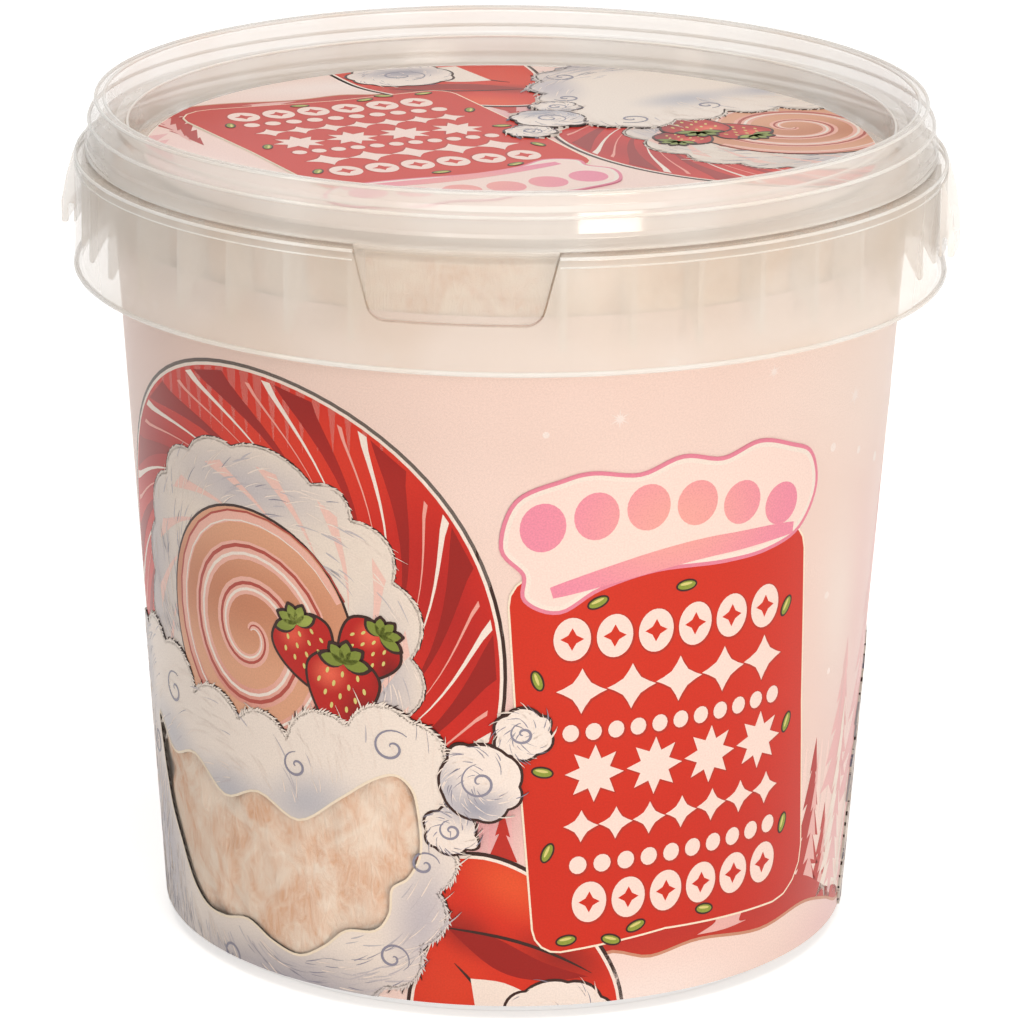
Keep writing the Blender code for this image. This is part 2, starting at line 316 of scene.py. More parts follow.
def finish(bm, name, mat, node, sharp=SHARP_DEGREES):
    """Turn a bmesh in millimetres into a named piece that rides with the tub."""
    bmesh.ops.remove_doubles(bm, verts=bm.verts, dist=WELD)
    bmesh.ops.recalc_face_normals(bm, faces=bm.faces)
    bmesh.ops.scale(bm, vec=(MM, MM, MM), verts=bm.verts)
    mesh = bpy.data.meshes.new(name)
    bm.to_mesh(mesh)
    bm.free()
    mesh.shade_smooth()
    mesh.set_sharp_from_angle(angle=math.radians(sharp))
    mesh.materials.append(mat)
    piece = bpy.data.objects.new(name, mesh)
    bpy.context.scene.collection.objects.link(piece)
    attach(piece, "root")
    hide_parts(node)
    print(f"{name}: {len(mesh.polygons)} faces")
    return piece


def rounded(points):
    """A profile whose corners (r, z, radius) are turned into short arcs."""
    result = []
    for i, point in enumerate(points):
        here = Vector(point[:2])
        radius = point[2] if len(point) > 2 else 0.0
        if radius == 0.0:
            result.append(tuple(here))
            continue
        before = (Vector(points[i - 1][:2]) - here).normalized()
        after = (Vector(points[(i + 1) % len(points)][:2]) - here).normalized()
        half = 0.5 * before.angle(after)
        centre = here + (before + after).normalized() * radius / math.sin(half)
        start = here + before * radius / math.tan(half) - centre
        end = here + after * radius / math.tan(half) - centre
        sweep = start.angle_signed(end)
        for k in range(CORNER_STEPS + 1):
            turn = Matrix.Rotation(-sweep * k / CORNER_STEPS, 2)
            result.append(tuple(centre + turn @ start))
    return result


def turned(points, closed=False, segments=TURN_SEGMENTS):
    """A bmesh of a profile of (radius, height), spun once round the axis."""
    bm = bmesh.new()
    verts = [bm.verts.new((r, 0.0, z)) for r, z in points]
    pairs = list(zip(verts, verts[1:]))
    if closed:
        pairs.append((verts[-1], verts[0]))
    edges = [bm.edges.new(pair) for pair in pairs]
    bmesh.ops.spin(bm, geom=verts + edges, cent=(0, 0, 0), axis=(0, 0, 1),
                   angle=math.tau, steps=segments, use_merge=True)
    return bm


def swept(bm, points, half_angle, centre_angle, steps):
    """A closed profile swept through part of a turn, with flat ends."""
    ring = [bm.verts.new((r, 0.0, z)) for r, z in points]
    bmesh.ops.rotate(bm, verts=ring, cent=(0, 0, 0),
                     matrix=Matrix.Rotation(centre_angle - half_angle, 3, "Z"))
    bmesh.ops.spin(bm, geom=[bm.faces.new(ring)], cent=(0, 0, 0), axis=(0, 0, 1),
                   angle=2.0 * half_angle, steps=steps, use_merge=False)


def prism(bm, outline, depth, placing):
    """A flat outline in X and Z, given depth along Y, then placed."""
    ring = [bm.verts.new((x, -0.5 * depth, z)) for x, z in outline]
    grown = bmesh.ops.extrude_face_region(bm, geom=[bm.faces.new(ring)])
    far = [g for g in grown["geom"] if isinstance(g, bmesh.types.BMVert)]
    bmesh.ops.translate(bm, verts=far, vec=(0.0, depth, 0.0))
    bmesh.ops.transform(bm, matrix=placing, verts=ring + far)


print("a corner as an arc:", len(rounded([(0, 0), (1, 0, 0.2), (1, 1)])), "points")

# %% [markdown]
# ## The tear tab's outline
# The tab is a curved tongue with round lower corners and sides that lean
# inwards. The same outline, a little larger, is also the opening in the collar
# that it sits in, so both are cut with one function: a swept band, trimmed by a
# straight prism with a Boolean that is applied at once.

# %% Tab outline and trimming
TAB_HALF_WIDTH = 14.6
TAB_TAPER = 0.25
TAB_CORNER = 2.6
TAB_GAP = 0.3


def tab_outline(grow):
    """The tab seen from the front, grown all round by a clearance."""
    foot = TAB_BOTTOM - grow
    radius = TAB_CORNER + grow
    head = TAB_TOP + 4.0
    lean = math.atan(TAB_TAPER)
    width = TAB_HALF_WIDTH + grow - TAB_TAPER * (LEDGE_TOP - foot - radius)
    side = width - radius / math.cos(lean)
    turns = [-math.pi / 2 + (math.pi / 2 - lean) * k / 8 for k in range(9)]
    half = [(side + radius * math.cos(a), foot + radius + radius * math.sin(a)) for a in turns]
    half.append((TAB_HALF_WIDTH + grow - TAB_TAPER * (LEDGE_TOP - head), head))
    return half + [(-x, z) for x, z in reversed(half)]


def helper(bm, name):
    """A bare object that only serves as a cutter."""
    bmesh.ops.recalc_face_normals(bm, faces=bm.faces)
    bmesh.ops.scale(bm, vec=(MM, MM, MM), verts=bm.verts)
    mesh = bpy.data.meshes.new(name)
    bm.to_mesh(mesh)
    bm.free()
    tool = bpy.data.objects.new(name, mesh)
    bpy.context.scene.collection.objects.link(tool)
    return tool


def boolean(piece, tool, operation):
    """Cut or trim a piece with a tool, apply it, and remove the tool."""
    mod = piece.modifiers.new("trim", "BOOLEAN")
    mod.operation = operation
    mod.solver = "EXACT"
    mod.object = tool
    bpy.context.view_layer.update()
    evaluated = piece.evaluated_get(bpy.context.evaluated_depsgraph_get())
    mesh = bpy.data.meshes.new_from_object(evaluated)
    mesh.name = piece.data.name + "_trimmed"
    piece.modifiers.clear()
    piece.data = mesh
    mesh.shade_smooth()
    mesh.set_sharp_from_angle(angle=math.radians(SHARP_DEGREES))
    bpy.data.objects.remove(tool)


def tab_prism(grow):
    """The straight prism of the tab's outline, on the tab's side only."""
    bm = bmesh.new()
    prism(bm, tab_outline(grow), 30.0, Matrix.Translation((0.0, -60.0, 0.0)))
    return helper(bm, "tab_prism")


print("tab outline has", len(tab_outline(0.0)), "points")

# %% [markdown]
# ## Tub
# One profile runs from the middle of the underside, round the standing ring,
# up the wall, over the rim and back down inside. The ledge and the collar are
# a second profile, since they are thicker and less clear, and the opening for
# the tear tab is cut out of them. Fine beads of thick plastic edge the collar.
# Their whiter, more solid plastic is partly a painted highlight for its bright edge lines.

# %% Tub body
stand = BASE_RADIUS - 3.0
lip = COLLAR_RADIUS - COLLAR_WALL
tub_profile = rounded([
    (0.0, STAND_LIFT), (stand - 3.4, STAND_LIFT, 0.4), (stand - 2.6, 0.0, 0.3),
    (stand + 0.2, 0.0, 1.6), (wall_radius(3.0), 3.0, 2.2),
    (wall_radius(RIM_TOP), RIM_TOP - 1.6, 0.3),
    (wall_radius(RIM_TOP) + 1.4, RIM_TOP - 1.2, 0.4),
    (wall_radius(RIM_TOP) + 1.1, RIM_TOP, 0.5),
    (wall_radius(RIM_TOP, WALL), RIM_TOP, 0.3),
    (wall_radius(FLOOR_TOP, WALL), FLOOR_TOP, 2.2),
    (0.0, FLOOR_TOP),
])
tub = finish(turned(tub_profile), "tub_wall", wall_plastic, "tub")
root = wall_radius(LEDGE_UNDER) - 0.1
collar_profile = rounded([
    (root, LEDGE_UNDER), (lip, LEDGE_UNDER, 0.3),
    (lip, COLLAR_BOTTOM + 0.1, 0.2), (COLLAR_RADIUS, COLLAR_BOTTOM + 0.1, 0.3),
    (COLLAR_RADIUS, LEDGE_TOP, 0.5), (root, LEDGE_TOP),
])
collar = finish(turned(collar_profile, closed=True), "collar", collar_plastic, "tub")
cutter = bmesh.new()
swept(cutter, [
    (wall_radius(LEDGE_TOP) + TAB_GAP, TAB_BOTTOM - 2.0), (COLLAR_RADIUS + 4.0, TAB_BOTTOM - 2.0),
    (COLLAR_RADIUS + 4.0, LEDGE_TOP + 2.0), (wall_radius(LEDGE_TOP) + TAB_GAP, LEDGE_TOP + 2.0),
], math.radians(16.0), math.radians(-90.0), 24)
opening = helper(cutter, "tab_opening")
boolean(opening, tab_prism(TAB_GAP), "INTERSECT")
boolean(collar, opening, "DIFFERENCE")


def bead(name, radius, z, size, node, gap=0.0):
    """A fine round ring of thick, whiter plastic, partly a painted highlight line; open over an angle each
    side of the tab.
    """
    turns = [math.tau * k / 8 for k in range(8)]
    ring = [(radius + size * math.cos(t), z + size * math.sin(t)) for t in turns]
    bm = turned(ring, closed=True) if gap == 0.0 else bmesh.new()
    if gap > 0.0:
        swept(bm, ring, math.pi - gap, 0.5 * math.pi, TURN_SEGMENTS)
    return finish(bm, name, bead_highlight_plastic, node)


# The collar's beads paint bright highlight lines along its edges in whiter plastic, besides being thick.
EDGE_BEAD = 0.42
edge_bead = bead("collar_edge_bead", COLLAR_RADIUS + COLLAR_FLARE - EDGE_BEAD,
                 COLLAR_BOTTOM + EDGE_BEAD, EDGE_BEAD, "tub")
tab_gap = math.asin((TAB_HALF_WIDTH + TAB_GAP) / COLLAR_RADIUS)
rim_lines = [bead("collar_top_bead", COLLAR_RADIUS - 0.24, LEDGE_TOP - 0.28, 0.28, "tub", tab_gap),
             bead("collar_ledge_bead", COLLAR_RADIUS - 0.16, LEDGE_UNDER - 0.2, 0.20, "tub", tab_gap)]

# %% [markdown]
# ## Ribs and lugs
# Thin webs tie the collar to the wall, and through the milky collar they read
# as soft upright bars. Each is one outline in radius and height, given its
# thickness and turned to its place by a loop. Two hooded lugs on the X axis are
# made for a carrying handle.

# %% Ribs and lugs
RIB_COUNT = 40               # the two places behind the tab stay empty
RIB_THICKNESS = 0.9
RIB_FOOT = 106.2
RIB_KNEE = (62.95, 111.25)
LUG_HALF_WIDTH = 8.3

bm = bmesh.new()
rib_outline = rounded([
    (wall_radius(RIB_KNEE[1]) - 0.05, RIB_KNEE[1] - 0.2), (RIB_KNEE[0], RIB_KNEE[1] - 0.2, 0.6),
    (lip + 0.15, RIB_FOOT, 0.3), (lip + 0.05, LEDGE_UNDER + 0.05),
    (wall_radius(LEDGE_UNDER) - 0.05, LEDGE_UNDER + 0.05),
])
for k in range(1, RIB_COUNT - 1):
    turn = math.radians(-90.0 + (k + 0.5) * 360.0 / RIB_COUNT)
    prism(bm, rib_outline, RIB_THICKNESS, Matrix.Rotation(turn, 4, "Z"))
ribs = finish(bm, "collar_ribs", rib_plastic, "tub")

bm = bmesh.new()
skin = COLLAR_RADIUS - 0.05
hood = rounded([
    (skin, 120.3), (COLLAR_RADIUS + 0.3, 120.3, 0.3), (LUG_RADIUS - 0.8, 116.5, 1.5),
    (LUG_RADIUS, 112.4, 1.0), (LUG_RADIUS, 109.0, 0.4), (LUG_RADIUS - 1.1, 109.0, 0.3),
    (LUG_RADIUS - 1.1, 112.0, 0.4), (LUG_RADIUS - 1.9, 112.0, 0.4), (LUG_RADIUS - 1.9, 109.0, 0.1),
    (skin, 109.0),
])
for centre in (0.0, math.pi):
    swept(bm, hood, LUG_HALF_WIDTH / COLLAR_RADIUS, centre, 24)
lugs = finish(bm, "handle_lugs", collar_plastic, "tub")

# %% [markdown]
# ## Tear tab
# The tongue hangs from a narrow shelf at the ledge. Across it runs a shallow
# step, and its top edge is a rounded band.

# %% Tear tab
inner = COLLAR_RADIUS - COLLAR_WALL
shelf = wall_radius(LEDGE_TOP) + 2.0 * TAB_GAP
tab_profile = rounded([
    (inner, TAB_BOTTOM - 1.0), (COLLAR_RADIUS - 0.35, TAB_BOTTOM - 1.0),
    (COLLAR_RADIUS - 0.35, 115.0, 0.2), (COLLAR_RADIUS, 115.4, 0.2),
    (COLLAR_RADIUS, TAB_TOP, 0.45), (inner, TAB_TOP, 0.35), (inner, LEDGE_TOP, 0.15),
    (shelf, LEDGE_TOP), (shelf, LEDGE_UNDER), (inner, LEDGE_UNDER, 0.15),
])
bm = bmesh.new()
swept(bm, tab_profile, math.radians(15.0), math.radians(-90.0), 48)
tab = finish(bm, "tear_tab", tab_plastic, "tamper_tab")
boolean(tab, tab_prism(0.0), "INTERSECT")

# %% [markdown]
# ## Lid
# The lid has a sunk panel, a plug wall that seals inside the rim, a raised
# stacking ring and a skirt that steps out twice on its way down. The steps are
# only tenths of a millimetre, but each catches its own bright line. Fine beads
# follow its edges, where the plastic is thick and white. Their whiter, more
# solid plastic is partly a painted highlight for those bright lines.

# %% Lid
plug = wall_radius(LEDGE_TOP, WALL) - 0.42
seat = RIM_TOP + 0.3
skirt = COLLAR_RADIUS - 1.6
skirt_in = skirt - 1.2
lid_profile = rounded([
    (0.0, PANEL_TOP - 0.1),
    (DISC_RADIUS + 0.3, PANEL_TOP - 0.1, 0.1),
    (DISC_RADIUS + 0.5, PANEL_TOP + 0.1, 0.1),
    (plug - 1.8, PANEL_TOP + 0.3, 0.5),
    (plug - 1.0, seat + 0.6, 0.5),
    (plug + 0.7, seat + 1.1, 0.4),
    (plug + 1.8, HEIGHT - 0.6, 0.5),
    (plug + 2.8, HEIGHT, 0.35),
    (skirt - 1.5, HEIGHT, 0.45),
    (skirt - 1.5, HEIGHT - 1.9, 0.3),
    (skirt - 0.7, HEIGHT - 2.7, 0.4),
    (skirt - 0.4, HEIGHT - 5.8, 0.3),
    (skirt, HEIGHT - 6.3, 0.25),
    (skirt, LEDGE_TOP + 0.3, 0.3),
    (skirt_in, LEDGE_TOP + 0.3, 0.2),
    (skirt_in - 0.5, LEDGE_TOP + 1.0, 0.3),
    (skirt_in - 0.5, seat + 0.2, 0.4),
    (plug + 0.5, seat, 0.4),
    (plug, seat - 0.8, 0.4),
    (plug - 0.3, CANDY_TOP + 0.5, 0.3),
    (0.0, CANDY_TOP + 0.5),
])
lid = finish(turned(lid_profile), "lid", lid_plastic, "lid")
# The lid's beads paint bright highlight lines along its edges in whiter, more solid plastic.
lid_beads = ((plug + 2.4, HEIGHT - 0.28, 0.26), (skirt - 1.78, HEIGHT - 0.30, 0.28),
             (skirt - 0.72, HEIGHT - 3.5, 0.30), (skirt - 0.24, LEDGE_TOP + 0.55, 0.24),
             (plug - 1.1, seat + 0.8, 0.22))
for number, (radius, z, size) in enumerate(lid_beads, 1):
    bead(f"lid_bead_{number}", radius, z, size, "lid")

# %% [markdown]
# ## Spun sugar
# Cotton candy is pressed into the tub: most of it lies against the wall, and
# between the patches it falls back in soft creases. The candy is turned as one
# solid that reaches just into the wall, so no gap shows at the plastic, and
# then layered noise pulls the creases inwards.

# %% Candy
CREASE_DEPTH = 1.1
CREASE_MM = 11.0
CANDY_REACH = 0.95           # how far the candy reaches into the wall
FIBRE_MM = 1.6
CANDY_ROWS = 108
CANDY_SEGMENTS = 384


def floss_material():
    """Matt spun sugar: cream and warmer peach in random patches, with paler fine wisps."""
    mat, tree, shader = new_material("Spun sugar floss, packed")
    place = add(tree, "ShaderNodeTexCoord").outputs["Object"]
    wisp_map = add(tree, "ShaderNodeMapping", {"Vector": place, "Rotation": (0.5, 0.9, 0.3),
                                               "Scale": (1.0, 1.0, 0.35)})
    patch = add(tree, "ShaderNodeTexNoise", {"Vector": place, "Scale": 105.0, "Detail": 3.0,
                                             "Roughness": 0.62, "Distortion": 1.2})
    wisp = add(tree, "ShaderNodeTexNoise", {"Vector": wisp_map.outputs[0], "Scale": 520.0,
                                            "Detail": 3.0, "Roughness": 0.7, "Distortion": 2.0})
    warm = add(tree, "ShaderNodeMapRange", {"Value": patch.outputs[0], 1: 0.38, 2: 0.62})
    fine = add(tree, "ShaderNodeMapRange", {"Value": wisp.outputs[0], 1: 0.35, 2: 0.68})
    base = blend(tree, warm.outputs[0], "#E6B28C", "#F8E1CC")
    base = blend(tree, fine.outputs[0], base, blend(tree, 0.5, base, "#FFF3E4"))
    tree.links.new(base, shader.inputs["Base Color"])
    bump = add(tree, "ShaderNodeBump", {"Height": wisp.outputs[0], "Strength": 0.5,
                                        "Distance": 0.5 * MM})
    tree.links.new(bump.outputs[0], shader.inputs["Normal"])
    shader.inputs["Roughness"].default_value = 0.9
    shader.inputs["Specular IOR Level"].default_value = 0.2
    return mat


def floss_crease(point):
    """How far a point of the candy falls back from the wall, 0 to 1."""
    slow = noise.fractal(point / CREASE_MM, 1.0, 2.1, 4, noise_basis="PERLIN_ORIGINAL")
    ridge = abs(noise.noise(point / (0.6 * CREASE_MM) + Vector((7.0, 3.0, 1.0))))
    fibre = noise.noise(Vector((point.x, point.y, 0.4 * point.z)) / FIBRE_MM)
    return min(max(0.75 * slow + 0.9 * (0.22 - ridge) + 0.10 * fibre, 0.0), 1.0)


candy_floor = FLOOR_TOP - 0.3
candy_profile = [(0.0, candy_floor)]
candy_profile += [(wall_radius(FLOOR_TOP, WALL + 2.0) * k / 3.0, candy_floor) for k in (1, 2, 3)]
for k in range(CANDY_ROWS + 1):
    z = FLOOR_TOP + 1.2 + (CANDY_TOP - 1.4 - FLOOR_TOP) * k / CANDY_ROWS
    candy_profile.append((wall_radius(z, WALL - CANDY_REACH), z))
candy_profile += [(plug - 0.6, CANDY_TOP + 0.1)]
candy_profile += [(plug * (1.0 - k / 12.0), CANDY_TOP + 0.6) for k in range(1, 12)]
candy_profile += [(0.0, CANDY_TOP + 0.6)]
bm = turned(candy_profile, segments=CANDY_SEGMENTS)
bmesh.ops.remove_doubles(bm, verts=bm.verts, dist=WELD)
for vert in bm.verts:
    radius = math.hypot(vert.co.x, vert.co.y)
    if vert.co.z > candy_floor + 0.1 and radius > 1.0:
        pull = CREASE_DEPTH * floss_crease(vert.co)
        if vert.co.z < CANDY_TOP - 0.5:
            vert.co.x *= 1.0 - pull / radius
            vert.co.y *= 1.0 - pull / radius
        else:
            vert.co.z -= 0.5 * pull
candy = finish(bm, "spun_sugar", floss_material(), "cotton_candy", sharp=180.0)

# %% [markdown]
# ## Printed artwork
# The sleeve is printed film that is moulded into the wall. Each ink is a field
# of one colour, so each is modelled as a very thin plate: its outline is drawn
# flat, filled, given a thickness, cut at shared upright lines so that it can
# bend, and wrapped on the cone. Real geometry keeps the print's edges crisp at
# any distance. An image would tie the part to one resolution. The artwork is
# printed twice round the tub, half a turn apart.

# %% Outlines
COLUMNS = 144
REPEAT = math.pi * PRINT_RADIUS
COLUMN = 2.0 * REPEAT / COLUMNS
SEAM = 40 * COLUMN           # where the sleeve's two ends meet
PRINT_BOTTOM = 2.2           # the ink stops where the wall turns under
DISC_CENTRE = (16.0, 54.2)   # the artwork's point at the middle of the lid
DISC_SCALE = 0.9
DISC_TURN = math.radians(208.0)
DISC_TRIM = (DISC_RADIUS - 0.3) / DISC_SCALE
DISC_SIDES = 144
UV_MM = 100.0                # millimetres of artwork in one unit of its UV map
NO_LIMIT = -99.0             # lower than any artwork


def smooth(points, steps=6, closed=True):
    """A soft curve through the points; a third value marks a sharp corner."""
    result = []
    count = len(points)
    for i in range(count if closed else count - 1):
        p0, p1, p2, p3 = [points[(i + k) % count if closed else min(max(i + k, 0), count - 1)]
                          for k in (-1, 0, 1, 2)]
        p0 = p1 if len(p1) > 2 else p0
        p3 = p2 if len(p2) > 2 else p3
        for k in range(steps):
            t = k / steps
            result.append(tuple(
                0.5 * (2 * p1[a] + (p2[a] - p0[a]) * t
                       + (2 * p0[a] - 5 * p1[a] + 4 * p2[a] - p3[a]) * t * t
                       + (3 * p1[a] - p0[a] - 3 * p2[a] + p3[a]) * t ** 3)
                for a in (0, 1)))
    if not closed:
        result.append(tuple(points[-1][:2]))
    return result


def area(outline):
    """Twice the signed area; positive when the outline runs anticlockwise."""
    return sum(a[0] * b[1] - b[0] * a[1] for a, b in zip(outline, outline[1:] + outline[:1]))


def offset(outline, distance):
    """The same outline, moved outwards all round."""
    turn = math.copysign(1.0, area(outline))
    result = []
    for i, (s, z) in enumerate(outline):
        a, b = outline[i - 1], outline[(i + 1) % len(outline)]
        along = Vector((b[0] - a[0], b[1] - a[1])).normalized()
        result.append((s + turn * distance * along.y, z - turn * distance * along.x))
    return result


def evenly(outline, pitch):
    """Points a fixed distance apart along a closed outline."""
    ring = list(zip(outline, outline[1:] + outline[:1]))
    total = sum(math.dist(a, b) for a, b in ring)
    count = max(8, round(total / pitch))
    result, run, target = [], 0.0, 0.0
    for a, b in ring:
        step = math.dist(a, b)
        while step > 0.0 and target < run + step and len(result) < count:
            t = (target - run) / step
            result.append((a[0] + (b[0] - a[0]) * t, a[1] + (b[1] - a[1]) * t))
            target += total / count
        run += step
    return result


def fringe(outline, length, pitch, lean, width, seed):
    """Brush marks that stand along an outline as tufts, combed by a lean in degrees."""
    rng = random.Random(seed)
    points = evenly(outline, pitch)
    turn = math.copysign(1.0, area(points))
    starts = []
    for i, (s, z) in enumerate(points):
        a, b = points[i - 1], points[(i + 1) % len(points)]
        out = math.degrees(math.atan2(-turn * (b[0] - a[0]), turn * (b[1] - a[1])))
        reach = length * rng.uniform(0.45, 1.15)
        heading = out + turn * (lean + rng.gauss(0.0, 8.0))
        back = math.radians(heading)
        starts.append((s - 0.4 * reach * math.cos(back), z - 0.4 * reach * math.sin(back), heading,
                       1.4 * reach, width * rng.uniform(0.7, 1.2), turn * 0.5 * lean))
    return starts


def lobed(path, bulge, steps=7):
    """A cloud's edge: each stretch of a closed path swells into a round lobe."""
    turn = math.copysign(1.0, area(path))
    result = []
    for a, b in zip(path, path[1:] + path[:1]):
        swell = b[2] if len(b) > 2 else bulge
        along = Vector((b[0] - a[0], b[1] - a[1]))
        out = Vector((along.y, -along.x)).normalized() * turn
        for k in range(steps):
            t = k / steps
            place = Vector(a[:2]) + along * t + out * swell * math.sin(math.pi * t) ** 0.75
            result.append(tuple(place))
    return result


def ribbon(path, width, fade=0.15):
    """The outline of a line that swells in its middle and fades at both ends."""
    left, other = [], []
    for i, (s, z) in enumerate(path):
        a, b = path[max(i - 1, 0)], path[min(i + 1, len(path) - 1)]
        along = Vector((b[0] - a[0], b[1] - a[1])).normalized()
        t = i / (len(path) - 1)
        half = 0.5 * width * (fade + (1.0 - fade) * math.sin(math.pi * t) ** 0.7)
        left.append((s - along.y * half, z + along.x * half))
        other.append((s + along.y * half, z - along.x * half))
    return left + other[::-1]


def ellipse(s, z, wide, high, turn=0.0, steps=24):
    """An ellipse, turned by an angle in degrees."""
    c, d = math.cos(math.radians(turn)), math.sin(math.radians(turn))
    result = []
    for k in range(steps):
        x = wide * math.cos(math.tau * k / steps)
        y = high * math.sin(math.tau * k / steps)
        result.append((s + c * x - d * y, z + d * x + c * y))
    return result


print("one print column is", round(COLUMN, 3), "mm wide")

# %% [markdown]
# ## From flat artwork to wrapped plates
# A field is filled flat, trimmed to its place, cut along shared upright lines
# and given its thickness. Each vertex then moves to the chord between two of
# those lines, so that plates on different levels never cross. The same field is
# also laid flat on the lid. All plates of one ink are gathered in one run.

# %% Wrapping a flat field onto the wall
def filled(bm, outline, holes=()):
    """Fill a flat outline, less its holes, in the plane of the artwork."""
    edges = []
    for ring in (outline, *holes):
        verts = [bm.verts.new((s, 0.0, z)) for s, z in ring]
        edges += [bm.edges.new(pair) for pair in zip(verts, verts[1:] + verts[:1])]
    bmesh.ops.triangle_fill(bm, use_beauty=True, use_dissolve=False, edges=edges, normal=(0, -1, 0))


def cut_columns(bm):
    """Cut a field along the upright lines that all fields share."""
    low = min(v.co.x for v in bm.verts)
    high = max(v.co.x for v in bm.verts)
    for k in range(math.ceil(low / COLUMN), math.floor(high / COLUMN) + 1):
        geom = bm.verts[:] + bm.edges[:] + bm.faces[:]
        bmesh.ops.bisect_plane(bm, geom=geom, dist=0.0001, plane_co=(k * COLUMN, 0, 0),
                               plane_no=(1, 0, 0))


def trimmed(bm, flat, low):
    """Trim artwork to the sleeve's edges or to the lid's round disc, and to a level line."""
    if flat:
        planes = []
        for t in (math.tau * k / DISC_SIDES for k in range(DISC_SIDES)):
            across, along = math.cos(t), math.sin(t)
            rim = (DISC_CENTRE[0] + DISC_TRIM * across, 0.0, DISC_CENTRE[1] + DISC_TRIM * along)
            planes.append((rim, (across, 0.0, along)))
    else:
        low = max(low, PRINT_BOTTOM)
        planes = [((0.0, 0.0, LABEL_TOP), (0.0, 0.0, 1.0))]
    planes.append(((0.0, 0.0, low), (0.0, 0.0, -1.0)))
    for place, out in planes:
        if any((v.co - Vector(place)).dot(Vector(out)) > 0.0 for v in bm.verts):
            geom = bm.verts[:] + bm.edges[:] + bm.faces[:]
            bmesh.ops.bisect_plane(bm, geom=geom, dist=0.0001, plane_co=place, plane_no=out,
                                   clear_outer=True)


PRINT_LIFT = 0.018           # clears the flats between the wall's own facets
runs = {}


def wrapped(bm, mat, thickness, whole=False, flat=False):
    """Thicken flat artwork, bend it round the wall or lay it on the lid, and add it to its ink."""
    grown = bmesh.ops.extrude_face_region(bm, geom=bm.faces[:], use_keep_orig=True)
    far = [g for g in grown["geom"] if isinstance(g, bmesh.types.BMVert)]
    bmesh.ops.translate(bm, verts=far, vec=(0.0, -thickness, 0.0))
    bmesh.ops.recalc_face_normals(bm, faces=bm.faces)
    layer = bm.loops.layers.uv.new("print")
    for face in bm.faces:
        slip = REPEAT if whole and face.calc_center_median().x < SEAM - REPEAT else 0.0
        for loop in face.loops:
            loop[layer].uv = ((loop.vert.co.x + slip) / UV_MM, loop.vert.co.z / UV_MM)
    first = bm.verts[:] + bm.edges[:] + bm.faces[:]
    if not whole and not flat:
        copy = bmesh.ops.duplicate(bm, geom=first)
        verts = [g for g in copy["geom"] if isinstance(g, bmesh.types.BMVert)]
        bmesh.ops.translate(bm, verts=verts, vec=(-REPEAT, 0.0, 0.0))
    spin = Matrix.Rotation(DISC_TURN, 2) * DISC_SCALE
    half = 0.5 * COLUMN / PRINT_RADIUS
    for vert in bm.verts:
        s, height, z = vert.co.x, -vert.co.y, vert.co.z
        turn = s / PRINT_RADIUS
        drift = turn - (math.floor(s / COLUMN) + 0.5) * 2.0 * half
        radius = (wall_radius(z) + height) * math.cos(half) / math.cos(drift)
        if flat:
            x, y = spin @ (Vector((s, z)) - Vector(DISC_CENTRE))
            vert.co = Vector((x, y, PANEL_TOP + height)) * MM
        else:
            vert.co = Vector((radius * math.sin(turn), -radius * math.cos(turn), z)) * MM
    sheet = bpy.data.meshes.new("sheet")
    bm.to_mesh(sheet)
    bm.free()
    run = runs.setdefault(("disc" if flat else "sleeve", mat.name), bmesh.new())
    run.from_mesh(sheet)
    bpy.data.meshes.remove(sheet)


def printed(place, ink_name, bm):
    """One ink of one place as a finished piece, lit as the smooth surface it lies on."""
    name = f"{place}_{ink_name.split(', ')[1].replace(' ', '_')}"
    lean = math.atan(WALL_SLOPE)
    normals = []
    for vert in bm.verts:
        out = Vector((vert.co.x, vert.co.y, 0.0)).normalized() * math.cos(lean)
        normals.append((0.0, 0.0, 1.0) if place == "disc" else (out.x, out.y, -math.sin(lean)))
    mesh = bpy.data.meshes.new(name)
    bm.to_mesh(mesh)
    bm.free()
    mesh.shade_smooth()
    mesh.normals_split_custom_set_from_vertices(normals)
    mesh.materials.append(bpy.data.materials[ink_name])
    piece = bpy.data.objects.new(name, mesh)
    bpy.context.scene.collection.objects.link(piece)
    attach(piece, "root")
    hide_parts("lid_label" if place == "disc" else "wrap_label")
    print(f"{name}: {len(mesh.polygons)} faces")


BRUSH_STEPS = 4
BRUSH_SHAPE = (0.55, 1.0, 0.8, 0.45)     # a mark's width, step by step
TRIES = 30                   # how often a mark looks for a place before it is dropped


def marks(bm, starts, flat):
    """Tapered, curved brush marks: each start is (s, z, angle, length, width, curl)."""
    for s, z, angle, length, width, curl in starts:
        if flat and math.dist((s, z), DISC_CENTRE) > DISC_TRIM + length:
            continue
        left, other = [], []
        spot = Vector((s, z))
        for k, share in enumerate(BRUSH_SHAPE):
            heading = math.radians(angle + curl * k / BRUSH_STEPS)
            along = Vector((math.cos(heading), math.sin(heading)))
            across = Vector((-along.y, along.x)) * 0.5 * width * share
            left.append(bm.verts.new((spot.x + across.x, 0.0, spot.y + across.y)))
            other.append(bm.verts.new((spot.x - across.x, 0.0, spot.y - across.y)))
            spot += along * length / BRUSH_STEPS
        tip = bm.verts.new((spot.x, 0.0, spot.y))
        for k in range(BRUSH_STEPS - 1):
            bm.faces.new((left[k], other[k], other[k + 1], left[k + 1]))
        bm.faces.new((left[-1], other[-1], tip))


